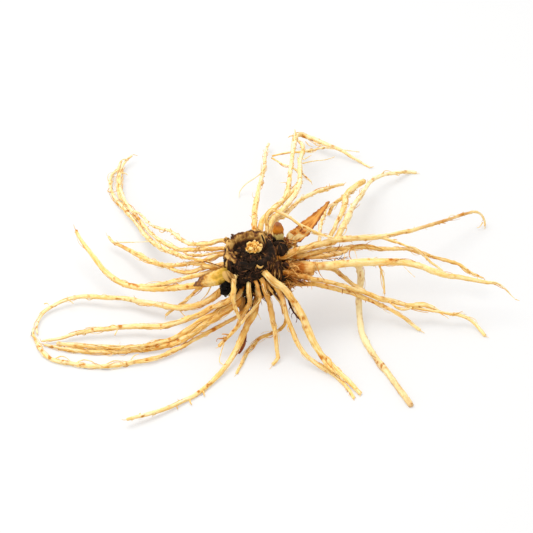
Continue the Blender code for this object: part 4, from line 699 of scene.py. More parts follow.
# Rootlets of each colour as radius, tone and points
STRAYS = {
    "straw": (
        (0.14, 0.55, ((35.6, 15, 28), (36.2, 12.2, 27.8), (36.4, 8.3, 28.3))),
        (0.14, 0.5, ((40, 18.3, 26.5), (40.8, 13.8, 27), (41.4, 8.7, 28))),
        (0.28, 0.75, ((-56.4, 48.2, 5.6), (-49.6, 46.4, 7), (-42, 43.8, 9.4))),
        (0.26, 0.68, ((-11.8, -17, 6.6), (-13, -19, 3.6), (-13.8, -22.7, 1.2), (-11.6, -25.2, 1))),
        (0.3, 0.8, (
            (3.6, 83.2, 14), (0.4, 85.6, 9), (-3.2, 86.8, 5), (-5.6, 86, 2), (-6.2, 83.3, 0.6),
        )),
        (0.26, 0.72, ((19.6, 87.4, 15), (24, 92.7, 12), (28.8, 98.6, 8), (32.8, 105, 4.5))),
        (0.28, 0.7, ((19.8, 88.7, 16), (21.6, 90.5, 15.6), (23.2, 92.8, 15))),
        (0.3, 0.6, ((16.8, 113.1, 9), (16.6, 114.3, 9.6), (16.5, 116, 10))),
        (0.26, 0.55, ((15.8, 113.6, 8.6), (14.6, 112.7, 9), (13.7, 111.7, 9))),
        (0.24, 0.75, ((33.6, 109.4, 4.8), (36.8, 109.9, 4), (40, 110.5, 3), (42.8, 111.2, 2))),
        (0.24, 0.5, ((20.8, 114.3, 5), (22, 112.7, 4.4), (23.8, 111.9, 4))),
        (0.28, 0.7, ((-0.6, -8.4, 21), (1, -9.2, 16.5), (2.8, -9.7, 12))),
        (0.3, 0.66, ((13.2, -3, 18), (16, -3.9, 12.8), (18.4, -4.7, 8))),
        (0.24, 0.5, ((24, 113.6, 4.8), (25.2, 112.5, 4.4), (27, 112.2, 4.4))),
        (0.3, 0.6, ((92.2, 65.3, 2.2), (91, 63.2, 1.6), (89.9, 63.2, 1))),
        (0.22, 0.5, ((78.4, 1.1, 6), (81.2, 1.9, 6), (83.8, 3.2, 6.2))),
        (0.2, 0.5, ((78.4, 0.9, 5.8), (82, 1.8, 5.4), (85.2, 2.5, 5))),
        (0.2, 0.5, ((74.4, 1.8, 6.4), (76.8, 0.1, 6), (78, -1, 5.6))),
        (0.14, 0.6, ((60, 8.6, 24.8), (62, 7.6, 23), (64.6, 6.3, 21))),
        (0.26, 0.6, ((-79.6, -21.4, 1.4), (-77.4, -20.7, 2.2), (-75.2, -21.6, 2.2), (-73, -23.7, 1.4))),
        (0.28, 0.62, ((-71.2, -24, 1.4), (-68.4, -22.8, 2), (-65.4, -23.7, 2.2), (-62.4, -25.7, 1.3))),
        (0.26, 0.66, ((-59.2, -25, 1.5), (-56.2, -23.9, 2.4), (-53.2, -23.9, 2.4), (-50.4, -23.3, 1.6))),
        (0.24, 0.6, ((-49.2, -22.3, 1.8), (-47.8, -20.7, 2.6), (-46, -20.3, 3))),
        (0.22, 0.55, ((-75.2, 13.3, 4.4), (-73.6, 12.1, 4), (-72.4, 11.1, 3.6))),
        (0.22, 0.5, ((-84.2, 12.6, 2.4), (-83, 12.2, 3), (-82.2, 10.5, 3))),
        (0.24, 0.55, ((-55.8, -8.3, 3), (-55, -6.5, 3.6), (-54.4, -5, 4.4))),
        (0.24, 0.6, ((-30.2, 4, 7), (-29, 2.3, 6), (-27.2, 0, 5.6), (-25, -2.6, 6))),
        (0.34, 0.5, ((-20.4, -42, 1.5), (-20, -43.2, 1.2), (-19.8, -44.4, 0.6))),
        (0.34, 0.55, ((-25.6, -47.8, 1.5), (-25.4, -48.8, 1.2), (-24.8, -49.8, 0.6))),
        (0.3, 0.45, ((-30.8, -51.6, 1.5), (-30.6, -52.2, 1), (-30.4, -52.7, 0.6))),
        (0.34, 0.6, ((-46, -58, 1.6), (-45.6, -57.2, 2), (-45.2, -56.6, 2.2))),
        (0.4, 0.72, ((-54.8, 97, 4), (-54.2, 102, 4), (-52.4, 103.8, 4.2), (-50.6, 103.4, 3.6))),
        (0.36, 0.7, ((-54.4, 97.6, 4), (-57.2, 94.6, 4), (-58.2, 89.9, 4))),
        (0.3, 0.74, ((-53.2, 95, 4), (-52, 95.4, 3.4), (-51, 94.8, 3))),
        (0.3, 0.72, ((-17.4, 1.4, 20), (-19, 2.9, 15), (-21.4, 3.7, 11))),
    ),
    "rust": (
        (0.26, 0.75, (
            (24.5, 3.5, 31.2), (25.5, 1, 30), (26.2, -0.4, 28.6), (27.2, -0.9, 27),
            (28.4, -1.1, 25.4),
        )),
        (0.3, 0.6, (
            (44.5, 21.5, 24.5), (42.4, 21, 26), (39.8, 17.4, 28), (38.4, 13.2, 29),
            (38.2, 9.8, 29.2), (39.2, 8.2, 28.4),
        )),
        (0.22, 0.8, (
            (50.4, 7.9, 25.6), (52.8, 6.9, 26.9), (54.8, 7.6, 27.6), (56.8, 9.6, 27.4), (59.6, 11.2, 26.6),
            (62.4, 10.9, 26.6), (64.8, 10.2, 25.8),
        )),
        (0.22, 0.5, ((35.5, 2.3, 18), (35.4, 1.4, 17.5), (35.3, 0.4, 17))),
        (0.24, 0.12, (
            (-25.6, 10.7, 27.5), (-21.6, 5.8, 30.1), (-17.6, 1, 32.7), (-12.6, -4.6, 35.1),
            (-10.8, -4, 34.6),
        )),
        (0.34, 0.7, ((-10.2, -15.4, 9), (-11.6, -15.3, 9.2), (-13, -15.3, 9.2))),
        (0.34, 0.62, ((-11, -16.6, 8.6), (-12.8, -16.6, 8), (-14.6, -15.8, 7.2), (-15, -16.3, 6))),
        (0.26, 0.8, ((-11.2, -17.2, 8), (-12, -16.9, 8.8), (-12.2, -16.2, 9))),
    ),
    "dead": (
        (0.62, 0.62, ((-4, -13.6, 4.8), (-4.6, -14.9, 3.2), (-5.6, -16.2, 1.9))),
        (0.2, 0.35, ((14.6, -12, 20.5), (14, -12.7, 19.5), (14.2, -13.3, 18))),
        (0.18, 0.4, ((15.8, -13, 18.5), (15, -13.5, 17.6), (15.2, -14, 16))),
        (0.18, 0.45, ((16.8, -13.4, 17), (17.2, -14, 16), (16.8, -14.7, 14.5))),
    ),
}

# Marks on the bark as half width, tone and points: dark slivers across the rim, the leaf scar, red-brown
# strips at the right, torn fibres among the roots in front, a brown wedge there that is painted shade on a
# shaded root, and pale scraps of sheath at the left bud
BARK_MARKS = (
    (0.36, 0, ((3, 6.4, 42.8), (3.7, 3.4, 42.9), (4.9, -0.4, 41.9))),
    (0.3, 0.02, ((4.6, 4.2, 42.6), (5.4, 1.6, 42.3), (6.2, -1.6, 40.9))),
    (0.42, 0.95, ((1.2, -9.4, 40), (1.9, -10, 39.4), (2.9, -10.1, 39.3), (3.8, -9.6, 39.9))),
    (0.5, 0, ((1.4, -9.2, 40.4), (2.6, -9.3, 40.3), (3.6, -9, 40.5))),
    (0.45, 0.66, ((6, -4.4, 40), (6.8, -6, 37.6), (6.7, -7, 35.4))),
    (0.4, 0.64, ((6.9, -1.4, 41), (7.7, -3.4, 38.8), (7.8, -4.8, 36.6))),
    (0.4, 0.6, ((7.9, 2.2, 40.6), (8.4, 0.4, 38.8), (8.6, -1, 37))),
    (0.35, 0.7, ((6.2, 5.6, 42), (7, 4.4, 41.4), (7.4, 3, 40.6))),
    (0.5, 0.4, ((6, -9.5, 29.5), (8.4, -11.2, 26.6), (10.4, -12.6, 24))),
    (0.4, 0.45, ((3.4, -9.8, 28.5), (4.6, -11.8, 24.5), (6, -13, 21.5))),
    (0.6, 0.08, ((-7, -9.6, 25), (-7.2, -10, 22.5), (-5.6, -11, 18.1))),
    (0.5, 0.08, ((-2.6, -9.6, 25), (-2.8, -10.2, 22.6), (-5.4, -11, 18.3))),
    # Painted shade: a brown wedge put where a root lies in shade.
    (1.5, 0.82, ((-4.4, -10.4, 24.4), (-5, -11.2, 21.4), (-5.5, -12, 18.2))),
    (1.3, 0.93, ((-12, -7.8, 35.4), (-11, -9.2, 33.6), (-9.6, -10.2, 31.6))),
    (0.8, 0.86, ((-10.8, -8.4, 36.2), (-9.2, -9.8, 34.2), (-7.8, -10.6, 32.4))),
    (0.6, 0.74, ((-9.4, -9.2, 35.8), (-7.8, -10.4, 33.8), (-6.8, -10.8, 32.4))),
    (0.45, 0.1, ((-1.4, -9, 28), (-1, -10.6, 24), (-0.6, -11.6, 20))),
    (0.45, 0.15, ((-3.4, -9, 28), (-4.4, -10.4, 23.6), (-5.4, -11.2, 19.6))),
    (0.4, 0.2, ((-6.6, -8, 28.5), (-7.6, -9.4, 24.5), (-6.6, -10.4, 20.5))),
    (0.35, 0.4, ((-7.6, -7.2, 28), (-9.4, -8.4, 23), (-11.4, -8.6, 19))),
)

# Jagged chunks of pith as place, size and which way they lean
PITH_CHUNKS = (
    ((-2.3, -0.9, 0.1), 1.05, (-0.5, -0.4, 0.2)),
    ((-1.1, -1.9, 0.2), 1, (-0.2, -0.7, 0.3)),
    ((0.5, -2.1, 0.1), 1.05, (0.2, -0.7, 0.1)),
    ((1.9, -1.3, 0.3), 1, (0.5, -0.4, 0.4)),
    ((2.5, 0.4, 0.5), 0.9, (0.4, 0.5, 0.9)),
    ((-1.7, 0.7, 0.8), 1, (-0.4, 0.3, 0.7)),
    ((-0.2, 0.3, 1.3), 1, (-0.2, 0.6, 1.2)),
    ((1.3, 0.9, 1.2), 0.85, (0.3, 0.5, 1)),
    ((0.2, 2.1, 0.9), 0.8, (0, 0.6, 1)),
    ((0.4, -0.8, 1.2), 0.9, (0.2, -0.3, 0.6)),
)

# Knobs of bark at the rim and among the roots as place, size and tone
BARK_KNOBS = (
    ((-10.8, 6, 40.4), (1.2, 1, 0.9), 0.82),
    ((-8.6, 8, 41.4), (0.7, 0.6, 0.5), 0.62),
    ((1.6, 10.4, 40.6), (1.3, 1, 1.5), 0.72),
    ((4, 9.8, 40.2), (1.1, 0.9, 1.7), 0.66),
    ((6.4, 8.4, 40), (1.1, 0.9, 1.4), 0.58),
    ((8, 6.6, 39.6), (0.9, 0.8, 1.6), 0.3),
    ((-1.2, 10.2, 41.2), (1.2, 0.8, 0.9), 0.42),
    ((11.2, 6.2, 38.2), (1.6, 1.4, 1.7), 0.16),
    ((12.3, 4.8, 36), (1.2, 1.3, 2), 0.3),
    ((8.6, 4.4, 39.4), (1.5, 1.3, 1.5), 0.34),
    ((11.4, -5.8, 30.6), (1.6, 1.4, 1.3), 0.24),
    ((12.6, -1.6, 33.6), (1.3, 1.2, 1.1), 0.4),
    ((-6, -8.6, 28.6), (1.5, 1.3, 1.2), 0.2),
    ((-1.5, -8.4, 25.5), (2.6, 1.4, 2.6), 0.12),
    ((3.2, -8.8, 26.2), (2, 1.4, 2.4), 0.3),
    ((-5.6, -7.8, 24.6), (2.4, 1.4, 3), 0.15),
    ((7, -8.6, 26), (1.8, 1.4, 2.2), 0.55),
    ((-2.6, -9.5, 21.5), (1.4, 1, 2.4), 0.1),
)


def linear(text):
    """A hex colour as linear red, green and blue."""
    parts = [int(text[place : place + 2], 16) / 255 for place in (1, 3, 5)]
    return tuple(part / 12.92 if part <= 0.04045 else ((part + 0.055) / 1.055) ** 2.4 for part in parts)


def step_up(value, low, high):
    """A smooth rise from 0 at the low value to 1 at the high one."""
    part = np.clip((value - low) / (high - low), 0, 1)
    return part * part * (3 - 2 * part)


def bell(value):
    """A smooth hump: 1 where the value is 0, and soon nothing to both sides."""
    return np.exp(-(value**2))


def spread(values, count):
    """The values, evenly spread over so many places."""
    return np.interp(np.linspace(0, len(values) - 1, count), range(len(values)), values)


def smooth_route(points, step=DENSE_STEP):
    """A Catmull-Rom curve through the points, as places about one step apart."""
    points = [Vector(point) for point in points]
    padded = [2 * points[0] - points[1], *points, 2 * points[-1] - points[-2]]
    route = []
    for before, start, end, after in zip(padded, padded[1:], padded[2:], padded[3:]):
        steps = max(1, round((end - start).length / step))
        linear_part = end - before
        square_part = 2 * before - 5 * start + 4 * end - after
        cube_part = 3 * start - before - 3 * end + after
        for number in range(steps):
            t = number / steps
            route.append(0.5 * (2 * start + linear_part * t + square_part * t**2 + cube_part * t**3))
    route.append(points[-1])
    return np.array(route)


def outward_at(angle, rise=0.0):
    """The way out from an upright axis at an angle round it."""
    return np.array((math.cos(angle), math.sin(angle), rise))


def up_in_view(places):
    """How far up the places lie in the photograph's view."""
    return places[..., 1] * math.sin(VIEW_ELEVATION) + places[..., 2] * math.cos(VIEW_ELEVATION)


def next_seed(draw):
    return int(draw.integers(1000))


def wall_at(height, profile, beyond=None):
    """The radius of an upright turned profile at a height, and what it is beyond the profile's ends."""
    heights = [place for _, place in profile][::-1]
    widths = [radius for radius, _ in profile][::-1]
    return np.interp(height, heights, widths, left=beyond, right=beyond)


def from_rhizome(points):
    """The route with a start added well inside the rhizome."""
    first = np.array(points[0], float)
    inside = RHIZOME_AXIS + (first - RHIZOME_AXIS) * ROOT_START_SHARE
    inside[2] = min(max(first[2], ROOT_START_HEIGHTS[0]), ROOT_START_HEIGHTS[1])
    return [inside, *points]


def in_rhizome(places):
    """Which of the places the rhizome's outer form covers, where roots may meet."""
    covered = np.zeros(len(places), bool)
    for axis, profile in ((RHIZOME_AXIS, BARREL_PROFILE), *LOBES):
        from_axis = places[:, :2] - np.array(axis)[:2]
        distance = np.hypot(from_axis[:, 0], from_axis[:, 1])
        covered |= distance < wall_at(places[:, 2], profile, -1.0) - MEETING_DEPTH
    return covered


def near_pairs(places, owners, reach):
    """Pairs of places of different owners that lie within reach of each other."""
    tree = kdtree.KDTree(len(places))
    for index, place in enumerate(places):
        tree.insert(place, index)
    tree.balance()
    pairs = []
    for index, place in enumerate(places):
        for _, other, _ in tree.find_range(place, reach):
            if index < other and owners[index] != owners[other]:
                pairs.append((index, other))
    return np.array(pairs)


def settle(strands):
    """Bends roots that cross each other apart, a little at a time, until each has room, as in the solids."""
    starts = np.cumsum([0] + [len(strand["places"]) for strand in strands])
    places = np.concatenate([strand["places"] for strand in strands])
    radii = np.concatenate([strand["radii"] for strand in strands])
    owners = np.concatenate([[strand["owner"]] * len(strand["places"]) for strand in strands])
    loose = np.concatenate([[float(strand["loose"])] * len(strand["places"]) for strand in strands])
    kernel = np.hanning(2 * SETTLE_SPREAD + 1)
    kernel /= kernel.sum()
    first, second = near_pairs(places, owners, SETTLE_REACH).T
    share = loose[first] / np.maximum(loose[first] + loose[second], 1.0)
    least = radii[first] + radii[second] + ROOM
    for _ in range(SETTLE_ROUNDS):
        covered = in_rhizome(places)
        apart = places[first] - places[second]
        distance = np.maximum(np.linalg.norm(apart, axis=1), 1e-6)
        lack = np.maximum(least - distance, 0.0) * ~(covered[first] & covered[second])
        if lack.max() < SETTLE_STOP:
            break
        push = apart * (lack / distance)[:, None]
        moves = np.zeros_like(places)
        hits = np.zeros(len(places))
        np.add.at(moves, first, push * share[:, None])
        np.add.at(moves, second, -push * (1 - share)[:, None])
        np.add.at(hits, first, lack > 0)
        np.add.at(hits, second, lack > 0)
        moves *= (loose / np.maximum(hits, 1.0))[:, None]
        for start, end in zip(starts, starts[1:]):
            padded = np.pad(moves[start:end], ((SETTLE_SPREAD, SETTLE_SPREAD), (0, 0)), mode="edge")
            for axis in range(3):
                places[start:end, axis] += SETTLE_PUSH * np.convolve(padded[:, axis], kernel, mode="valid")
        on_floor = loose > 0
        places[on_floor, 2] = np.maximum(places[on_floor, 2], FLOOR_REST * radii[on_floor])
    for strand, start, end in zip(strands, starts, starts[1:]):
        strand["places"] = places[start:end]


def strand_of(owner, places, radii, loose):
    return {"owner": owner, "places": places, "radii": spread(radii, len(places)), "loose": loose}


def all_strands():
    """Every strand of every root, and the fixed solids among them, bent clear of each other."""
    strands = []
    for name, branches in ROOTS.items():
        for number, (radii, points) in enumerate(branches):
            places = smooth_route(from_rhizome(points) if number == 0 else points)
            strands.append(strand_of(name, places, radii, True))
    for name, (radii, points) in BUDS.items():
        strands.append(strand_of(name, smooth_route(points), radii, False))
    strands.append(strand_of("cut_shoot", smooth_route(CUT_SHOOT), [CUT_SHOOT_HALF_WIDTH] * 2, False))
    blade = smooth_route([middle for middle, _, _ in SHEATH_STATIONS])
    room = [SHEATH_ROOM * half for _, half, _ in SHEATH_STATIONS]
    strands.append(strand_of("leaf_sheath", blade, room, False))
    settle(strands)
    return strands


def rough(points, seed=0, octaves=1):
    """Smooth noise, about -1 to 1, at each of the points."""
    points = np.asarray(points, float)
    total = np.zeros(points.shape[:-1])
    size = 1.0
    for octave in range(octaves):
        here = points / size
        cell = np.floor(here).astype(np.int64)
        part = here - cell
        part = part * part * (3 - 2 * part)
        for corner in range(8):
            offset = np.array([(corner >> axis) & 1 for axis in range(3)])
            key = (cell + offset) @ CELL_KEYS + (seed * 31 + octave) * SEED_KEY
            for shift, mix in MIX_KEYS:
                key = (key ^ (key >> shift)) * mix & 0x7FFFFFFF
            value = ((key >> 8) & 0xFFFF) / 32767.5 - 1.0
            total += value * np.prod(np.where(offset, part, 1 - part), axis=-1) * size
        size *= 0.5
    return total


def rough_along(run, length, channel, row, seed, octaves=1):
    """Smooth noise along a line, in waves of about this length. Each channel and row has its own."""
    apart = [np.full_like(run, place) for place in (channel, row)]
    return rough(np.stack([run / length, *apart], axis=-1), seed, octaves)


def on_skin(turn, run, across=1.0, along=1.0):
    """Places on a round skin: how far round and how far along, each with its own scale."""
    return np.concatenate([turn * across, run[..., None] * along], axis=-1)


class Surface:
    """Closed shells gathered into one piece, with what its material reads at each point: a place in the
    grain in millimetres, a tone from dark to light, and how much staining and painted shade darken it.
    """

    def __init__(self):
        self.parts = {"places": [], "grain": [], "tone": [], "stain_and_shade": []}
        self.faces = []
        self.count = 0

    def add(self, places, faces, grain, tone, stain_and_shade):
        size = len(places)
        self.parts["places"].append(np.asarray(places, float))
        self.parts["grain"].append(np.asarray(grain, float))
        self.parts["tone"].append(np.broadcast_to(np.asarray(tone, float), size))
        self.parts["stain_and_shade"].append(np.broadcast_to(np.asarray(stain_and_shade, float), size))
        self.faces.extend((np.asarray(faces) + self.count).tolist())
        self.count += size

    def build(self, name, material, slot, nodes=(), smooth=True):
        places, grain, tone, stain_and_shade = (np.concatenate(part) for part in self.parts.values())
        places[:, 2] = np.maximum(places[:, 2], 0.0)
        mesh = bpy.data.meshes.new(name)
        mesh.from_pydata(((places + FOOT) * MM).tolist(), [], self.faces)
        mesh.attributes.new("grain", "FLOAT_VECTOR", "POINT").data.foreach_set("vector", grain.ravel())
        mesh.attributes.new("tone", "FLOAT", "POINT").data.foreach_set("value", tone.copy())
        mesh.attributes.new("stain_and_shade", "FLOAT", "POINT").data.foreach_set("value", stain_and_shade.copy())
        if smooth:
            mesh.shade_smooth()
        mesh.materials.append(material)
        piece = bpy.data.objects.new(name, mesh)
        bpy.context.scene.collection.objects.link(piece)
        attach(piece, "root")
        if nodes:
            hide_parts(*nodes)


def circle(sides):
    """The angles of a ring's corners, and their unit directions."""
    angle = np.linspace(0, 2 * math.pi, sides, endpoint=False)
    return angle, np.stack([np.cos(angle), np.sin(angle)], axis=-1)


def frames(path, hint=(0.0, 0.0, 1.0)):
    """Unit vectors along the path, and two across it that turn as little as they can."""
    ahead = np.gradient(path, axis=0)
    ahead /= np.linalg.norm(ahead, axis=1)[:, None]
    side = np.cross(ahead[0], hint)
    if np.linalg.norm(side) < NEARLY_ALONG:
        side = np.cross(ahead[0], OTHER_HINT)
    sides = []
    for direction in ahead:
        side = side - direction * (side @ direction)
        side = side / np.linalg.norm(side)
        sides.append(side)
    sides = np.array(sides)
    return ahead, sides, np.cross(ahead, sides)


def ring_faces(rings, sides):
    """Quads between rings of points, and the fans to the two poles that come after them."""
    index = np.arange(rings * sides).reshape(rings, sides)
    following = np.roll(index, -1, axis=1)
    walls = np.stack([index[:-1], following[:-1], following[1:], index[1:]], axis=-1).reshape(-1, 4)
    pole = rings * sides
    fans = [(pole, b, a) for a, b in zip(index[0], following[0])]
    fans += [(pole + 1, a, b) for a, b in zip(index[-1], following[-1])]
    return walls, np.array(fans)


def with_poles(values):
    """The values of all rings in one run, and after them the mean of each end ring."""
    return np.concatenate([values.reshape(-1, *values.shape[2:]), values[[0, -1]].mean(axis=1)])


def add_rings(surface, rings, grain, tone, stain_and_shade=0.0):
    """Adds a closed shell of rings of points, with a pole in the middle of each end ring."""
    shape = rings.shape[:2]
    walls, fans = ring_faces(*shape)
    before = surface.count
    tones = with_poles(np.broadcast_to(tone, shape))
    stains = with_poles(np.broadcast_to(stain_and_shade, shape))
    surface.add(with_poles(rings), walls, with_poles(grain), tones, stains)
    surface.faces.extend((fans + before).tolist())


def shrivelled_size(along, radii, swell, rounding, seed):
    """The radii with swellings along them, rounded off at the far end."""
    bulge = rough_along(along, 4.5, 0, seed, seed + 2) + 0.6 * rough_along(along, 1.6, 0, seed, seed + 3)
    size = np.asarray(radii, float) * (1 + swell * bulge)
    if rounding:
        left = np.clip((along[-1] - along) / (size[-1] * rounding + 1e-9), 0, 1)
        size = size * np.sqrt(np.maximum(1 - (1 - left) ** 2, 0.02))
    return size


def spotted_stain(rings, stain_and_shade, seed):
    """The level of staining and painted shade, with blotches and with the brown spots that the photograph
    shows added.
    """
    blotch = rough(rings / BLOTCH_SIZE + seed, seed + 6, 2)
    stain_and_shade = np.maximum(stain_and_shade, BLOTCH_STAIN * step_up(blotch, 0.5, 0.95))
    seen_up = up_in_view(rings)
    for right, up, width, brown in SPOTS:
        near = bell((rings[..., 0] - right) / width) * bell((seen_up - up) / width)
        stain_and_shade = np.maximum(stain_and_shade, brown * near * (1 + 0.5 * blotch))
    return stain_and_shade


def tube(surface, path, radii, sides=16, seed=0, tone=0.6, furrow=0.1, swell=0.06, squash=1.0,
         hint=(0, 0, 1), knots=(), rounding=1.0, stain_and_shade_level=0.0, relief=0.0, cell=1.0, spotted=False,
         creased=False, shade=0.22):
    """A shrivelled root or stalk along the path: furrowed along its length, uneven in thickness, with knots.

    A knot is where it lies along and round the tube, how high and how wide it is, and how stained. The hint
    is a direction across the path, along which a squashed tube is thin.
    """
    path = np.asarray(path, float)
    shape = (len(path), sides)
    steps = np.linalg.norm(np.diff(path, axis=0), axis=1)
    along = np.concatenate([[0.0], np.cumsum(steps)])
    ahead, side, over = frames(path, hint)
    angle, around = circle(sides)
    run = np.broadcast_to(along[:, None], shape)
    turn = np.broadcast_to(around[None], (*shape, 2))
    mean = max(float(np.mean(radii)), THINNEST)
    folds = on_skin(turn, run, 1.9, 0.13 / mean)
    fine = on_skin(turn, run, 4.2, 0.35 / mean)
    ridge = 0.65 * rough(folds + seed * 3.7, seed) + 0.35 * rough(fine + seed * 1.3, seed + 1)
    size = shrivelled_size(along, radii, swell, rounding, seed)
    least = np.maximum(size, THINNEST)[:, None]
    wall = size[:, None] * (1 + furrow * (ridge - 0.25))
    stain_and_shade = np.broadcast_to(np.reshape(stain_and_shade_level, (-1, 1)), shape) * (0.7 + 0.6 * ridge)
    for place, facing, height, width, brown in knots:
        turned = np.abs((angle - facing + math.pi) % (2 * math.pi) - math.pi)
        near = bell((along - place) / width)[:, None] * bell(turned * mean / width)[None]
        wall = wall + height * near
        stain_and_shade = np.maximum(stain_and_shade, brown * near)
    offsets = turn * wall[..., None]
    rings = path[:, None] + side[:, None] * offsets[..., :1] + over[:, None] * squash * offsets[..., 1:]
    if relief:
        lumps = rough(rings / cell + seed, seed + 4, 3)[..., None]
        if creased:
            lumps = 0.55 - 2.2 * np.abs(lumps)
        rings = rings + (rings - path[:, None]) / least[..., None] * lumps * relief
        ridge = ridge + 3.0 * relief * lumps[..., 0]
    if spotted:
        stain_and_shade = spotted_stain(rings, stain_and_shade, seed)
    # Painted light: each tube's tone is raised on its upper side and lowered on its underside, as if lit from
    # above.
    painted_top_light = (rings - path[:, None])[..., 2] / least
    tones = spread(np.atleast_1d(tone), shape[0])[:, None] + shade * ridge + 0.1 * painted_top_light
    add_rings(surface, rings, on_skin(turn, run, mean) + seed * 17.0, tones, stain_and_shade)
    return {"path": path, "along": along, "size": size, "ahead": ahead, "side": side, "over": over}


def wander(draw, base, direction, length, curl=0.25, droop=0.0, step=0.7):
    """A thin rootlet's path: it sets out in a direction and bends a little at each step."""
    direction = np.array(direction, float)
    direction /= np.linalg.norm(direction)
    place = np.array(base, float)
    path = [place.copy()]
    bend = draw.normal(size=3) * curl
    for _ in range(max(3, round(length / step))):
        bend = 0.75 * bend + 0.5 * draw.normal(size=3) * curl
        direction = direction + bend * 0.45 - np.array((0, 0, droop))
        direction /= np.linalg.norm(direction)
        place = place + direction * step
        if place[2] < LOWEST_ROOTLET:
            place[2] = LOWEST_ROOTLET
            direction[2] = abs(direction[2]) * 0.2
        path.append(place.copy())
    return np.array(path)


def rootlet(surface, draw, base, direction, length, radius, tone):
    """A short thin rootlet that stands off a root."""
    path = wander(draw, base, direction, length, step=min(0.7, length / 4))
    radii = np.linspace(radius, radius * 0.45, len(path))
    tube(surface, path, radii, sides=6, seed=next_seed(draw), tone=tone, furrow=0.06, swell=0.12)


def peeled(surface, draw, made):
    """A thin fibre that has come away from a root and lies along it."""
    path, size = made["path"], made["size"]
    span = int(draw.integers(6, 26))
    if len(path) < span + 12:
        return
    first = int(draw.integers(8, len(path) - span - 2))
    part = slice(first, first + span)
    turn = draw.uniform(0, 2 * math.pi) + np.linspace(0, draw.normal() * 1.4, span)
    outward = made["side"][part] * np.cos(turn)[:, None] + made["over"][part] * np.sin(turn)[:, None]
    bow = np.sin(np.linspace(0, math.pi * draw.choice((0.6, 1.0, 1.0)), span)) * draw.uniform(0.0, 0.9)
    strip = path[part] + outward * (size[part] * 0.9 + bow)[:, None]
    radii = draw.uniform(0.1, 0.24) * np.linspace(1.0, 0.5, span)
    tube(surface, strip, radii, sides=6, seed=next_seed(draw), tone=draw.uniform(0.35, 0.8), furrow=0.1)


def wavering(path, length, seed):
    """The path with a slight, uneven sway to both sides and up and down."""
    _, side, over = frames(path)
    run = np.linspace(0, length, len(path))
    for channel, across in enumerate((side, over)):
        sway = rough_along(run, 6, channel, seed, seed) + 0.35 * rough_along(run, 2, channel, seed, seed + 5)
        path = path + across * (ROOT_WAVER * sway)[:, None]
    return path


def knots_on(draw, length, mean, often):
    """Knots strewn along a root beyond its first stretch, which the rhizome hides."""
    last = max(length - 1, HIDDEN_STRETCH + 1)
    places = np.sort(draw.uniform(HIDDEN_STRETCH, last, draw.poisson(often * length)))
    knots = []
    for place in places:
        facing = draw.uniform(0, 2 * math.pi)
        height = mean * draw.uniform(0.1, 0.3)
        width = draw.uniform(0.35, 0.8)
        brown = KNOT_BROWN * draw.uniform(0.2, 1.0) ** 1.5
        knots.append((place, facing, height, width, brown))
    return knots


def stub(surface, draw, made, place, facing):
    """What is left of a rootlet that grew from a knot: mostly a short stump, now and then a long hair."""
    index = min(int(np.searchsorted(made["along"], place)), len(made["path"]) - 1)
    outward = made["side"][index] * math.cos(facing) + made["over"][index] * math.sin(facing)
    base = made["path"][index] + outward * made["size"][index] * 0.8
    direction = outward + made["ahead"][index] * draw.uniform(0.2, 1.6)
    span = draw.uniform(3.0, 6.0) if draw.random() < LONG_STUBS else draw.uniform(0.3, 1.5)
    rootlet(surface, draw, base, direction, span, draw.uniform(0.09, 0.2), draw.uniform(0.35, 0.65))


def crown_shade_and_stain(path, seed):
    """How much painted shade and soil staining darken a root along its path, strongest at the crown and
    fading outwards, in patches.
    """
    from_crown = np.hypot(path[:, 0] - CROWN_MIDDLE[0], path[:, 1] - CROWN_MIDDLE[1]) - CROWN_REACH
    mottle = rough(path / 2.3 + seed, seed + 9, 2)
    return np.exp(-np.maximum(from_crown, 0) / CROWN_FADE) * (0.75 + mottle)


def make_root(name, strands, material, slot, seed, look):
    """One root with its branches, its knots, and the rootlets left on it."""
    surface = Surface()
    for number, strand in enumerate(strands):
        draw = np.random.default_rng(seed * 10 + number)
        own_seed = seed * 7 + number
        path = smooth_route(strand["places"], FINE_STEP)
        radii = spread(strand["radii"], len(path))
        if number == 0 and look["thread_from"] < 1:
            share = np.linspace(0, 1, len(path))
            thread = step_up(share, look["thread_from"], look["thread_from"] + THREAD_STEP)
            radii = radii * (1 - THREAD_LOSS * thread)
        length = np.linalg.norm(np.diff(path, axis=0), axis=1).sum()
        path = wavering(path, length, own_seed)
        knots = knots_on(draw, length, float(np.mean(radii)), look["knots"])
        # Painted shade: near the crown each root is darkened as if shaded by the crowded bases, together with
        # soil staining and, all along, age.
        stain_and_shade_level = np.clip(look["brown"] * crown_shade_and_stain(path, own_seed) + look["age"], 0, 1)
        skin = {"tone": look["tone"], "knots": knots, "stain_and_shade_level": stain_and_shade_level, **ROOT_SKIN}
        made = tube(surface, path, radii, seed=own_seed, **skin)
        for _ in range(draw.poisson(look["peel"] * length)):
            peeled(surface, draw, made)
        for place, facing, *_ in knots:
            if draw.random() <= look["stubs"]:
                stub(surface, draw, made, place, facing)
        for _ in range(look["fray"]):
            base = made["path"][-1] + draw.normal(size=3) * made["size"][-3] * 0.3
            direction = made["ahead"][-1] + draw.normal(size=3) * 0.5
            rootlet(surface, draw, base, direction, draw.uniform(0.8, 2.6), draw.uniform(0.1, 0.2), 0.55)
    surface.build("fine_" + name, material, slot, [name])


def node(tree, kind, inputs=None, **settings):
    """A shader node with its settings, and its inputs as values or links."""
    made = tree.nodes.new(kind)
    for key, value in settings.items():
        setattr(made, key, value)
    for key, value in (inputs or {}).items():
        if isinstance(value, bpy.types.NodeSocket):
            tree.links.new(value, made.inputs[key])
        else:
            made.inputs[key].default_value = value
    return made


def combine(tree, operation, first, second):
    return node(tree, "ShaderNodeMath", {0: first, 1: second}, operation=operation).outputs[0]


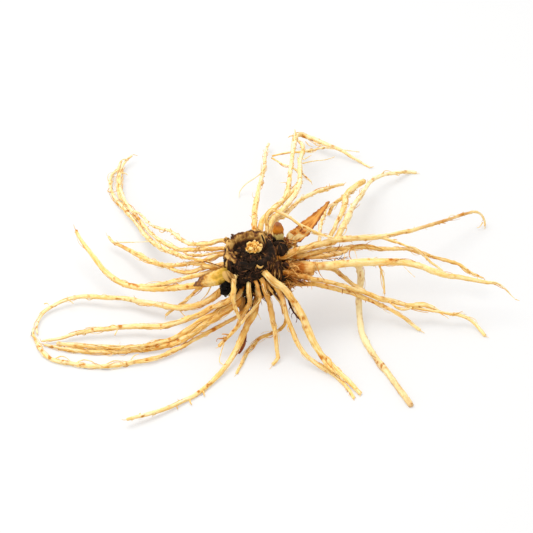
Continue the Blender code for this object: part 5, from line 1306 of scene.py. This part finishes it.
def attribute(tree, name, output="Fac"):
    return node(tree, "ShaderNodeAttribute", attribute_name=name).outputs[output]


def noise(tree, place, scale, detail, roughness=0.5):
    inputs = {"Vector": place, "Scale": scale, "Detail": detail, "Roughness": roughness}
    return node(tree, "ShaderNodeTexNoise", inputs).outputs["Fac"]


def shifted(tree, level, change, gain):
    """The level moved up or down by how far a noise is from its middle."""
    step = combine(tree, "MULTIPLY", combine(tree, "SUBTRACT", change, 0.5), gain)
    return combine(tree, "ADD", level, step)


def dry_material(name, stops, streak=2.2, along=0.16, contrast=0.3, stain_and_shade=STAIN_AND_SHADE, roughness=(0.5, 0.78),
                 bump=0.05, specular=0.18, glow=0.0):
    """A dry plant surface: tone with streaks along the grain and patches, stains, and a fine relief."""
    material = bpy.data.materials.new(name)
    material.use_nodes = True
    tree = material.node_tree
    shader = tree.nodes["Principled BSDF"]
    grain = attribute(tree, "grain", "Vector")
    lengthened = {"Vector": grain, "Scale": (1.0, 1.0, along)}
    stretched = node(tree, "ShaderNodeMapping", lengthened).outputs["Vector"]
    streaks = noise(tree, stretched, streak, 5.0, 0.6)
    pores = noise(tree, grain, PORE_SCALE, 3.0)
    level = shifted(tree, attribute(tree, "tone"), streaks, 2 * contrast)
    level = shifted(tree, level, noise(tree, grain, PATCH_SCALE, 2.0), contrast)
    ramp = node(tree, "ShaderNodeValToRGB", {"Fac": level})
    for place, _ in stops[1:-1]:
        ramp.color_ramp.elements.new(place)
    for element, (place, colour) in zip(ramp.color_ramp.elements, stops):
        element.position = place
        element.color = (*linear(colour), 1.0)
    # Where staining and painted shade are set, the colour is multiplied by the material's staining colour.
    uneven = combine(tree, "MULTIPLY", combine(tree, "ADD", pores, 0.5), STAIN_AND_SHADE_GAIN)
    stain_and_shade_level = combine(tree, "MULTIPLY", attribute(tree, "stain_and_shade"), uneven)
    deepest = {"Value": pores, "From Min": 0.66, "From Max": 0.76, "To Max": SPECK_STAIN}
    specks = node(tree, "ShaderNodeMapRange", deepest).outputs["Result"]
    darker = {0: stain_and_shade_level, 1: specks}
    cover = node(tree, "ShaderNodeMath", darker, operation="MAXIMUM", use_clamp=True).outputs[0]
    layers = {"Fac": cover, "Color1": ramp.outputs["Color"], "Color2": (*linear(stain_and_shade), 1.0)}
    colour = node(tree, "ShaderNodeMixRGB", layers, blend_type="MULTIPLY").outputs[0]
    tree.links.new(colour, shader.inputs["Base Color"])
    smoothest, roughest = roughness
    sheen = {"Value": streaks, "From Min": 0.3, "From Max": 0.7, "To Min": roughest, "To Max": smoothest}
    tree.links.new(node(tree, "ShaderNodeMapRange", sheen).outputs["Result"], shader.inputs["Roughness"])
    relief = combine(tree, "ADD", streaks, combine(tree, "MULTIPLY", pores, 0.5))
    bumped = node(tree, "ShaderNodeBump", {"Height": relief, "Strength": 0.9, "Distance": bump * MM})
    tree.links.new(bumped.outputs["Normal"], shader.inputs["Normal"])
    shader.inputs["Specular IOR Level"].default_value = specular
    if glow:
        shader.inputs["Subsurface Weight"].default_value = glow
        shader.inputs["Subsurface Radius"].default_value = GLOW_RADIUS
        shader.inputs["Subsurface Scale"].default_value = GLOW_DEPTH * MM
    return material


def even_profile(profile, step):
    """The profile's outline as evenly spaced radii and heights."""
    points = np.array(profile, float)
    run = np.concatenate([[0.0], np.cumsum(np.linalg.norm(np.diff(points, axis=0), axis=1))])
    places = np.linspace(0, run[-1], max(3, round(run[-1] / step)))
    return np.interp(places, run, points[:, 0]), np.interp(places, run, points[:, 1])


def barrel_surface(surface):
    """The rhizome's barrel: furrowed bark, a ragged rim that is pale at the back and left, and a hollow top
    that is filled towards the front.
    """
    radius, height = even_profile(((0.1, 22.6), *BARREL_PROFILE[-2::-1], *RIM_PROFILE), BARREL_STEP)
    angle, around = circle(BARREL_SIDES)
    shape = (len(radius), BARREL_SIDES)
    reach = np.broadcast_to(radius[:, None], shape).copy()
    rise = np.broadcast_to(height[:, None], shape).copy()
    run = np.broadcast_to(np.linspace(0, 1, len(radius))[:, None], shape)
    facing = np.broadcast_to(angle[None], shape)
    turn = np.broadcast_to(around[None], (*shape, 2))
    top = int(np.argmax(height))
    inside = (np.arange(len(radius)) > top)[:, None] & np.ones(shape, bool)
    outer = ~inside

    furrows = rough(on_skin(turn, rise, 5.5, 0.16), 3, 3)
    lumps = rough(on_skin(turn * reach[..., None], rise) / 2.6, 5, 3)
    grit = rough(on_skin(turn * reach[..., None], rise) / 0.8, 6, 2)
    across = rough(on_skin(turn, rise, 2.2, 0.0), 8, 3)
    front = step_up(-np.sin(facing + 0.15), -0.25, 0.45)
    depth = furrows * BARREL_FURROWS * (1 - 0.4 * front) + lumps * (BARREL_LUMPS + FRONT_LUMPS * front)
    reach += outer * (depth + grit * BARREL_GRIT)
    rise += step_up(rise, *RIM_HEIGHTS) * (across * 0.8 - 0.1 - FRONT_DROP * front)
    fill = step_up(-reach * np.sin(facing), -1.6, 0.8) * inside
    rise += fill * np.maximum(FILL_HEIGHT - FILL_SLOPE * reach + 0.9 * lumps - rise, 0)
    rise += inside * (0.45 * lumps + 0.25 * grit)
    reach += inside * 0.35 * lumps * (reach > 2)
    rings = on_skin(turn * reach[..., None], rise) + RHIZOME_AXIS

    pale_side = step_up(np.cos(facing - 2.35), -0.45, -0.05)
    rim_band = step_up(run, 0.60, 0.635) * (1 - step_up(run, 0.76, 0.83))
    tan = pale_side * rim_band * (1 - fill)
    tone = 0.26 + 0.12 * furrows + 0.1 * lumps + tan * (0.62 + 0.16 * lumps + 0.12 * grit)
    tone += 0.22 * np.maximum(grit, 0) * (1 - tan)
    right_wall = step_up(np.cos(facing - 0.1), 0.55, 0.9) * outer
    tone += 0.3 * right_wall * step_up(furrows, 0.05, 0.5)
    left = -reach * np.cos(facing)
    left_edge = step_up(left, 8.0, 9.6)
    mottled = step_up(left, 3.5, 8.5) * inside * fill + left_edge * outer * step_up(rise, 27.0, 31.0)
    tone += mottled * (0.38 + 0.3 * lumps + 0.14 * grit)
    dark_edge = bell((run - run[top, 0]) / EDGE_WIDTH) * (1 - left_edge)
    tone -= 0.35 * dark_edge * step_up(furrows, -0.5, 0.1)
    add_rings(surface, rings, on_skin(turn, rise, 9.0), tone)


def lobe_surface(surface, axis, profile, seed, brown):
    """A side shoot's stump, with upright fibres."""
    radius, height = even_profile(profile[::-1], 0.24)
    _, around = circle(LOBE_SIDES)
    shape = (len(radius), LOBE_SIDES)
    turn = np.broadcast_to(around[None], (*shape, 2))
    rise = np.broadcast_to(height[:, None], shape).copy()
    reach = np.broadcast_to(np.maximum(radius, THINNEST)[:, None], shape).copy()
    fibres = rough(on_skin(turn, rise, 4.5, 0.12), seed, 3)
    lumps = rough(on_skin(turn * reach[..., None], rise) / 1.8, seed + 1, 3)
    reach += np.minimum(reach, 1.0) * (0.4 * fibres + 0.35 * lumps)
    rise += 0.5 * lumps * step_up(rise, max(height) - 2.5, max(height))
    rings = on_skin(turn * reach[..., None], rise) + np.array(axis)
    tone = 0.2 + brown + 0.16 * fibres + 0.1 * lumps + 0.35 * step_up(fibres, 0.3, 0.7)
    add_rings(surface, rings, on_skin(turn, rise, 4.0), tone)


def make_rhizome(material):
    surface = Surface()
    barrel_surface(surface)
    for number, (axis, profile) in enumerate(DRAWN_LOBES):
        lobe_surface(surface, axis, profile, 20 + 5 * number, LOBE_BROWN[number])
    surface.build("fine_rhizome", material, "dark_bark", ["rhizome"])


def ball(detail):
    """A unit ball's points and triangles."""
    edit = bmesh.new()
    bmesh.ops.create_icosphere(edit, subdivisions=detail, radius=1.0)
    edit.verts.index_update()
    points = np.array([vertex.co[:] for vertex in edit.verts])
    faces = np.array([[vertex.index for vertex in face.verts] for face in edit.faces])
    edit.free()
    return points, faces


def add_lump(surface, shape, centre, size, seed, relief=0.35, cell=0.8, tone=0.2, shade=0.25):
    """A lump of soil, bark or pith: a ball with an uneven surface."""
    points, faces = shape
    size = np.broadcast_to(np.asarray(size, float), 3)
    places = points * size
    bumps = rough(places / cell + seed * 9.1, seed, 3)
    places = places + points * (bumps * relief * size.min())[:, None]
    surface.add(places + np.array(centre), faces, places + seed * 5.0, tone + shade * bumps, 0.0)


def lobe_fibre(surface, draw, axis, profile, brown):
    """A flat strip of torn bark that stands up along a side shoot's stump."""
    angle = draw.uniform(0, 2 * math.pi)
    height = draw.uniform(profile[-1][1] + 2, profile[0][1] - 1.0)
    outward = outward_at(angle)
    base = np.array(axis) + outward * (wall_at(height, profile) + 0.1) + np.array((0, 0, height))
    upright = np.array((draw.normal() * 0.15, draw.normal() * 0.15, 1.0))
    direction = upright + outward * draw.uniform(-0.1, 0.25)
    tone = draw.choice((0.1, 0.2, 0.35, 0.5, 0.6)) + 0.35 * brown
    length = draw.uniform(1.5, 3.8)
    width = draw.uniform(0.15, 0.4)
    path = wander(draw, base, direction, length, 0.12, step=length / 6)
    radii = spread(width * np.array(FIBRE_TAPER), len(path))
    seed = next_seed(draw)
    tube(surface, path, radii, sides=6, seed=seed, tone=tone, furrow=0.15, squash=STRIP_SQUASH, hint=outward)


def bark_path(draw, outline, run, angle, heading, length, lift):
    """A path that wanders over the rhizome's front, from a place along its outline and an angle round it."""
    radius, height = outline
    step = length / 6
    path = []
    for number in range(7):
        index = min(max(run / OUTLINE_STEP, 0), len(radius) - 1)
        reach = np.interp(index, range(len(radius)), radius) + lift + 0.05 * number
        rise = np.interp(index, range(len(height)), height) + (lift if index > len(radius) * 0.75 else 0.0)
        path.append(RHIZOME_AXIS + outward_at(angle) * reach + np.array((0, 0, rise)))
        heading += draw.normal() * 0.22
        run += math.cos(heading) * step
        angle += math.sin(heading) * step / max(reach, 2.0)
    return np.array(path)


def flat_strip(surface, draw, path, width, tone, outward, squash=STRIP_SQUASH):
    """A strip of torn bark along a path, widest in its middle."""
    radii = spread(width * np.array(STRIP_TAPER), len(path))
    seed = next_seed(draw)
    tube(surface, path, radii, sides=6, seed=seed, tone=tone, furrow=0.2, squash=squash, hint=outward)


def make_bark(material):
    """Fibres of bark on the rhizome's wall, over its filled front and on its side shoots."""
    draw = np.random.default_rng(SEEDS["bark"])
    surface = Surface()
    outline = even_profile(FRONT_OUTLINE, OUTLINE_STEP)
    longest = (len(outline[0]) - 1) * OUTLINE_STEP
    for _ in range(FRONT_STRIPS):
        angle = draw.normal(-math.pi / 2, 1.0)
        run = draw.uniform(1.0, longest)
        heading = draw.normal(0.0, 0.5) if draw.random() < 0.7 else draw.normal(math.pi / 2, 0.4)
        path = bark_path(draw, outline, run, angle, heading, draw.uniform(1.6, 5.0), draw.uniform(0.0, 0.4))
        tone = draw.choice((0.1, 0.25, 0.38, 0.5, 0.6, 0.7), p=(0.22, 0.26, 0.24, 0.16, 0.08, 0.04))
        flat_strip(surface, draw, path, draw.uniform(0.12, 0.34), tone, outward_at(angle, 0.3))
    for _ in range(RIGHT_STRIPS):
        angle = draw.normal(0.0, 0.4)
        run = draw.uniform(8.0, longest - 7)
        path = bark_path(draw, outline, run, angle, 0.0, draw.uniform(3.0, 6.5), 0.25)
        flat_strip(surface, draw, path, draw.uniform(0.25, 0.5), draw.uniform(0.35, 0.72), outward_at(angle))
    for (axis, profile), brown in zip(DRAWN_LOBES, LOBE_BROWN):
        for _ in range(LOBE_FIBRES):
            lobe_fibre(surface, draw, axis, profile, brown)
    crumbs = ball(1)
    for _ in range(BARK_CRUMBS):
        angle = draw.normal(-math.pi / 2, 0.9)
        spot = bark_path(draw, outline, draw.uniform(2.0, longest), angle, 0.0, 1.0, 0.0)[0]
        tone = draw.choice((0.1, 0.2, 0.3, 0.5, 0.7), p=(0.35, 0.3, 0.2, 0.1, 0.05))
        add_lump(surface, crumbs, spot, draw.uniform(0.2, 0.55), next_seed(draw), tone=tone)
    for width, tone, points in BARK_MARKS:
        flat_strip(surface, draw, smooth_route(points, 0.5), width, tone, TOWARDS_VIEW, squash=0.7)
    knob = ball(3)
    for place, size, tone in BARK_KNOBS:
        add_lump(surface, knob, place, size, next_seed(draw), relief=0.5, cell=0.9, tone=tone)
    surface.build("bark_fibres", material, "dark_bark", smooth=False)


def make_mat(material):
    """The brown, matted fibres among the bases of the roots right of the rhizome, below it and behind it;
    their brown is partly painted shade for the dark between the root bases.
    """
    draw = np.random.default_rng(SEEDS["mats"])
    surface = Surface()
    for number, low, high, length, radius, lean in MATS:
        for _ in range(number):
            base = draw.uniform(low, high)
            direction = draw.normal(size=3) * MAT_SPREAD + np.array(lean)
            span = length * draw.uniform(0.4, 1.2)
            path = wander(draw, base, direction, span, 0.45, 0.04, step=span / 8)
            radii = radius * draw.uniform(0.5, 1.3) * np.linspace(1.0, 0.4, len(path))
            seed = next_seed(draw)
            tube(surface, path, radii, sides=6, seed=seed, tone=draw.uniform(0.15, 1.0), furrow=0.1)
    surface.build("matted_fibres", material, "dead_root")


def make_strays(looks):
    """The thin rootlets that the photograph shows, as one piece for each colour."""
    draw = np.random.default_rng(SEEDS["strays"])
    for colour, rows in STRAYS.items():
        surface = Surface()
        for radius, tone, points in rows:
            path = smooth_route(points, 0.3)
            radii = np.linspace(radius, radius * 0.5, len(path))
            tube(surface, path, radii, sides=7, seed=next_seed(draw), tone=tone, **STRAY_SKIN)
        surface.build(colour + "_rootlets", *looks[colour])


def make_pith(material):
    """The torn pith in the middle of the rhizome: jagged chunks with darker clefts between them."""
    draw = np.random.default_rng(SEEDS["pith"])
    surface = Surface()
    centre = np.array(PITH_CENTRE)
    chunk = ball(3)
    chip = ball(1)
    add_lump(surface, chunk, centre - (0, 0, 0.5), np.array(PITH_SIZE) * 0.7, 3, relief=0.5)
    for number, (place, size, lean) in enumerate(PITH_CHUNKS):
        place = np.array(place)
        lean = np.array(lean)
        spike = smooth_route((place - lean * 0.6, place, place + lean), 0.2) + centre
        spans = size * np.interp(np.linspace(0, 1, len(spike)), (0, 0.45, 1), (0.9, 1.0, 0.3))
        tube(surface, spike, spans, sides=12, seed=number, **SPIKE_SKIN)
        add_lump(surface, chunk, place + centre, size, number, relief=0.6, cell=0.9, tone=0.6, shade=0.5)
    for _ in range(PITH_CHIPS):
        way = draw.normal(size=3)
        way[2] = abs(way[2])
        way /= np.linalg.norm(way)
        size = draw.uniform(0.2, 0.5) * draw.uniform(0.45, 1.0, size=3)
        tone = draw.uniform(0.15, 0.95)
        spot = centre + way * np.array(PITH_SIZE) * 0.9
        add_lump(surface, chip, spot, size, next_seed(draw), relief=0.6, cell=0.5, tone=tone)
    surface.build("fine_pith", material, "pith", ["pith"], smooth=False)


def make_soil(material):
    """The dark crumb of soil under the left bud, with grains on it that are paler underneath."""
    draw = np.random.default_rng(SEEDS["soil"])
    surface = Surface()
    add_lump(surface, ball(5), CRUMB_CENTRE, np.array(CRUMB_SIZE) * 0.9, 2, relief=0.62, cell=1.7, tone=0.3)
    grit = ball(2)
    for _ in range(SOIL_GRAINS):
        way = draw.normal(size=3)
        way /= np.linalg.norm(way)
        centre = np.array(CRUMB_CENTRE) + way * np.array(CRUMB_SIZE) * 0.92
        tone = PALE_SOIL if up_in_view(way) < PALE_BELOW else draw.uniform(0.1, 0.6)
        size = draw.uniform(0.2, 0.95) * draw.uniform(0.6, 1.0, size=3)
        add_lump(surface, grit, centre, size, next_seed(draw), relief=0.5, tone=tone)
    surface.build("fine_soil_crumb", material, "soil", ["soil_crumb"], smooth=False)


def make_bud(name, material, slot, seed):
    radii, points = BUDS[name]
    slimness, look = BUD_LOOKS[name]
    surface = Surface()
    path = smooth_route(points, 0.3)
    sizes = spread(np.array(radii) * slimness, len(path))
    tube(surface, path, sizes, sides=44, seed=seed, furrow=0.26, swell=0.05, rounding=0.9, **look)
    surface.build("fine_" + name, material, slot, [name])


def make_cut_shoot(material):
    surface = Surface()
    path = smooth_route(CUT_SHOOT, 0.35)
    flat = np.cross(path[-1] - path[0], CUT_SHOOT_WIDTH_DIRECTION)
    radii = np.full(len(path), CUT_SHOOT_HALF_WIDTH)
    squash = CUT_SHOOT_HALF_THICKNESS / CUT_SHOOT_HALF_WIDTH
    tube(surface, path, radii, sides=48, seed=4, squash=squash, hint=flat, **CUT_SHOOT_SKIN)
    surface.build("fine_cut_shoot", material, "cut_shoot", ["cut_shoot"])


def flake_shape(draw, middle, lean, lengths, curl, widths):
    """A flake's bent path and its radii, widest before its far end."""
    path = wander(draw, middle, draw.normal(size=3) * lean, draw.uniform(*lengths), curl, step=FLAKE_STEP)
    swell = np.interp(np.linspace(0, 1, len(path)), (0, 0.3, 0.8, 1), (0.4, 1, 0.8, 0.3))
    return path, draw.uniform(*widths) * swell


def add_flake(surface, shape, seed, tone):
    path, radii = shape
    tube(surface, path, radii, sides=8, seed=seed, tone=tone, furrow=0.3, squash=0.25)


def sheath_blade(surface, path, across, halves, folds):
    """The blade: a thin channel, ribbed along its length and crumpled at its base."""
    share = np.linspace(0, 1, len(path))
    side = np.linspace(-1, 1, SHEATH_LANES)
    shape = (len(path), SHEATH_LANES)
    lanes = np.broadcast_to(side, shape)
    run = share * np.linalg.norm(SHEATH_ENDS[1] - SHEATH_ENDS[0])
    runs = np.broadcast_to(run[:, None], shape)
    flat = np.zeros(shape)
    base = step_up(-share, -0.42, -0.12)[:, None]
    ribs = rough(np.stack([lanes * 5.0, runs * 0.1, flat], axis=-1), 11, 2)
    crumple = rough(np.stack([lanes * 1.6, runs * 0.6, flat], axis=-1), 12, 3)
    ragged = (np.abs(side) > 0.9) * (0.35 * rough_along(run, 1, 0, 0, 13, 2))[:, None]
    lift = folds[:, None] * side[None] ** 2 + 0.16 * ribs + crumple * (0.08 + 0.95 * base)
    grid = path[:, None] + across * (lanes * halves[:, None] + ragged)[..., None]
    top = grid + UPWARD * (lift + SHEATH_HALF)[..., None]
    below = grid + UPWARD * (lift - SHEATH_HALF)[..., None]
    tone = 0.42 + 0.3 * ribs + 0.1 * crumple + base * (0.3 + 0.6 * crumple)
    tone = tone - 0.25 * step_up(side[None], 0.3, 0.9) * (1 - base)
    rings = np.concatenate([top, below[:, ::-1]], axis=1)
    tones = np.concatenate([tone, tone[:, ::-1]], axis=1)
    wide = np.concatenate([lanes, lanes[:, ::-1]], axis=1)
    grain = np.stack([wide * 3.0, wide * 0, np.broadcast_to(run[:, None], wide.shape)], axis=-1)
    add_rings(surface, rings, grain, tones)


def make_sheath(material):
    """The leaf sheath: its blade, and flakes at its ragged base and down the side of the top bud."""
    surface = Surface()
    path = smooth_route([middle for middle, _, _ in SHEATH_STATIONS], 0.35)
    across = np.cross(SHEATH_ENDS[1] - SHEATH_ENDS[0], UPWARD)
    across /= np.linalg.norm(across)
    halves = spread([half for _, half, _ in SHEATH_STATIONS], len(path))
    folds = spread([fold for _, _, fold in SHEATH_STATIONS], len(path))
    sheath_blade(surface, path, across, halves, folds)
    draw = np.random.default_rng(SEEDS["sheath"])
    for _ in range(BASE_FLAKES):
        middle = path[0] + (path[-1] - path[0]) * draw.uniform(0.0, 0.3)
        middle = middle + across * draw.uniform(-0.9, 0.9) * halves[0]
        middle = middle + UPWARD * draw.uniform(-0.5, 0.5)
        shape = flake_shape(draw, middle, (1.0, 1.0, 0.35), (1.2, 3.2), 0.5, (0.3, 0.8))
        tone = draw.choice((0.05, 0.3, 0.7, 0.95))
        add_flake(surface, shape, next_seed(draw), tone)
    for _ in range(COLLAR_FLAKES):
        middle = draw.uniform(*COLLAR_BOX)
        shape = flake_shape(draw, middle, (1.0, 0.6, 0.6), (1.4, 3.4), 0.4, (0.4, 0.9))
        tone = draw.choice((0.05, 0.5, 0.7, 0.85))
        add_flake(surface, shape, next_seed(draw), tone)
    for _ in range(DARK_FLAKES):
        middle = draw.uniform(*DARK_BOX)
        shape = flake_shape(draw, middle, (0.4, 0.4, 1.0), (1.4, 3.0), 0.4, (0.25, 0.6))
        seed = next_seed(draw)
        add_flake(surface, shape, seed, draw.choice((-0.1, 0.0, 0.2)))
    surface.build("fine_leaf_sheath", material, "sheath", ["leaf_sheath"])


def make_camera():
    """The photograph's view, from far off so that it is almost without perspective."""
    up = np.array((0, math.sin(VIEW_ELEVATION), math.cos(VIEW_ELEVATION)))
    back = np.array((0, -math.cos(VIEW_ELEVATION), math.sin(VIEW_ELEVATION)))
    target = FOOT + VIEW_CENTRE + np.array((VIEW_RIGHT, 0, 0)) + up * VIEW_UP
    data = bpy.data.cameras.new("camera")
    data.sensor_width = SENSOR
    data.lens = SENSOR * VIEW_DISTANCE / VIEW_WIDTH
    data.clip_start = 0.1
    data.clip_end = 50.0
    camera = bpy.data.objects.new("camera", data)
    camera.location = (target + back * VIEW_DISTANCE) * MM
    camera.rotation_euler = (math.pi / 2 - VIEW_ELEVATION, 0, 0)
    bpy.context.scene.collection.objects.link(camera)
    bpy.context.scene.camera = camera


def area_light(name, place, size, power, colour):
    """A round soft light that shines at the middle of the base."""
    data = bpy.data.lights.new(name, "AREA")
    data.shape = "DISK"
    data.size = size
    data.energy = power
    data.color = colour
    light = bpy.data.objects.new(name, data)
    light.location = place
    light.rotation_euler = (-Vector(place)).to_track_quat("-Z", "Y").to_euler()
    bpy.context.scene.collection.objects.link(light)


def make_floor():
    """A white ground that glows a little, so that the shadows on it stay light."""
    mesh = bpy.data.meshes.new("floor")
    square = ((-1, -1), (1, -1), (1, 1), (-1, 1))
    corners = [(x * FLOOR_REACH, y * FLOOR_REACH, FLOOR_DEPTH * MM) for x, y in square]
    mesh.from_pydata(corners, [], [(0, 1, 2, 3)])
    material = bpy.data.materials.new("floor")
    material.use_nodes = True
    shader = material.node_tree.nodes["Principled BSDF"]
    shader.inputs["Base Color"].default_value = (*linear(FLOOR_COLOUR), 1.0)
    shader.inputs["Roughness"].default_value = 0.9
    shader.inputs["Specular IOR Level"].default_value = 0.0
    shader.inputs["Emission Color"].default_value = WHITE
    shader.inputs["Emission Strength"].default_value = FLOOR_GLOW
    mesh.materials.append(material)
    floor = bpy.data.objects.new("floor", mesh)
    bpy.context.scene.collection.objects.link(floor)


def make_studio():
    """White surroundings, a broad soft light from above, and a weak one from the front."""
    world = bpy.data.worlds.new("studio")
    world.use_nodes = True
    background = world.node_tree.nodes["Background"]
    background.inputs["Color"].default_value = WHITE
    background.inputs["Strength"].default_value = SURROUNDINGS
    bpy.context.scene.world = world
    bpy.context.scene.view_settings.view_transform = "Standard"
    for light in LIGHTS:
        area_light(*light)
    make_floor()


def main():
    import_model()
    make_camera()
    make_studio()
    strands = all_strands()
    straw = dry_material("straw", STRAW_STOPS, glow=0.12)
    stalk = dry_material("stalk", STALK_STOPS, stain_and_shade=STALK_STAIN)
    dead = dry_material("dead", DEAD_STOPS)
    bark = dry_material("bark", BARK_STOPS, streak=1.8, contrast=0.22, stain_and_shade=BARK_STAIN, bump=0.12,
                        specular=0.15, roughness=(0.7, 0.95))
    others = {
        "stolon": (stalk, "stolon_skin"),
        "root_front_dead": (dead, "dead_root"),
        "root_front_right_dark": (dead, "dead_root"),
    }
    for number, name in enumerate(ROOTS):
        own = [strand for strand in strands if strand["owner"] == name]
        look = {**COMMON_LOOK, **LOOKS.get(name, {})}
        make_root(name, own, *others.get(name, (straw, "root_skin")), number + 1, look)
    make_rhizome(bark)
    make_bark(bark)
    rust = dry_material("rust", RUST_STOPS, contrast=0.4, stain_and_shade=RUST_STAIN)
    make_mat(rust)
    make_strays({"straw": (straw, "root_skin"), "rust": (rust, "dead_root"), "dead": (dead, "dead_root")})
    make_pith(dry_material("pith", PITH_STOPS, along=1.0, contrast=0.35, bump=0.15))
    make_soil(dry_material("soil", SOIL_STOPS, along=1.0, bump=0.15, stain_and_shade=SOIL_STAIN, specular=0.1,
                           roughness=(0.8, 1.0)))
    make_bud("bud_top", dry_material("amber", AMBER_STOPS, contrast=0.09, specular=0.35), "amber_bud", 2)
    make_bud("bud_left", dry_material("olive", OLIVE_STOPS, contrast=0.2), "olive_bud", 3)
    make_cut_shoot(dry_material("shoot", SHOOT_STOPS, contrast=0.4))
    make_sheath(dry_material("sheath", SHEATH_STOPS, stain_and_shade=SHEATH_STAIN))


main()
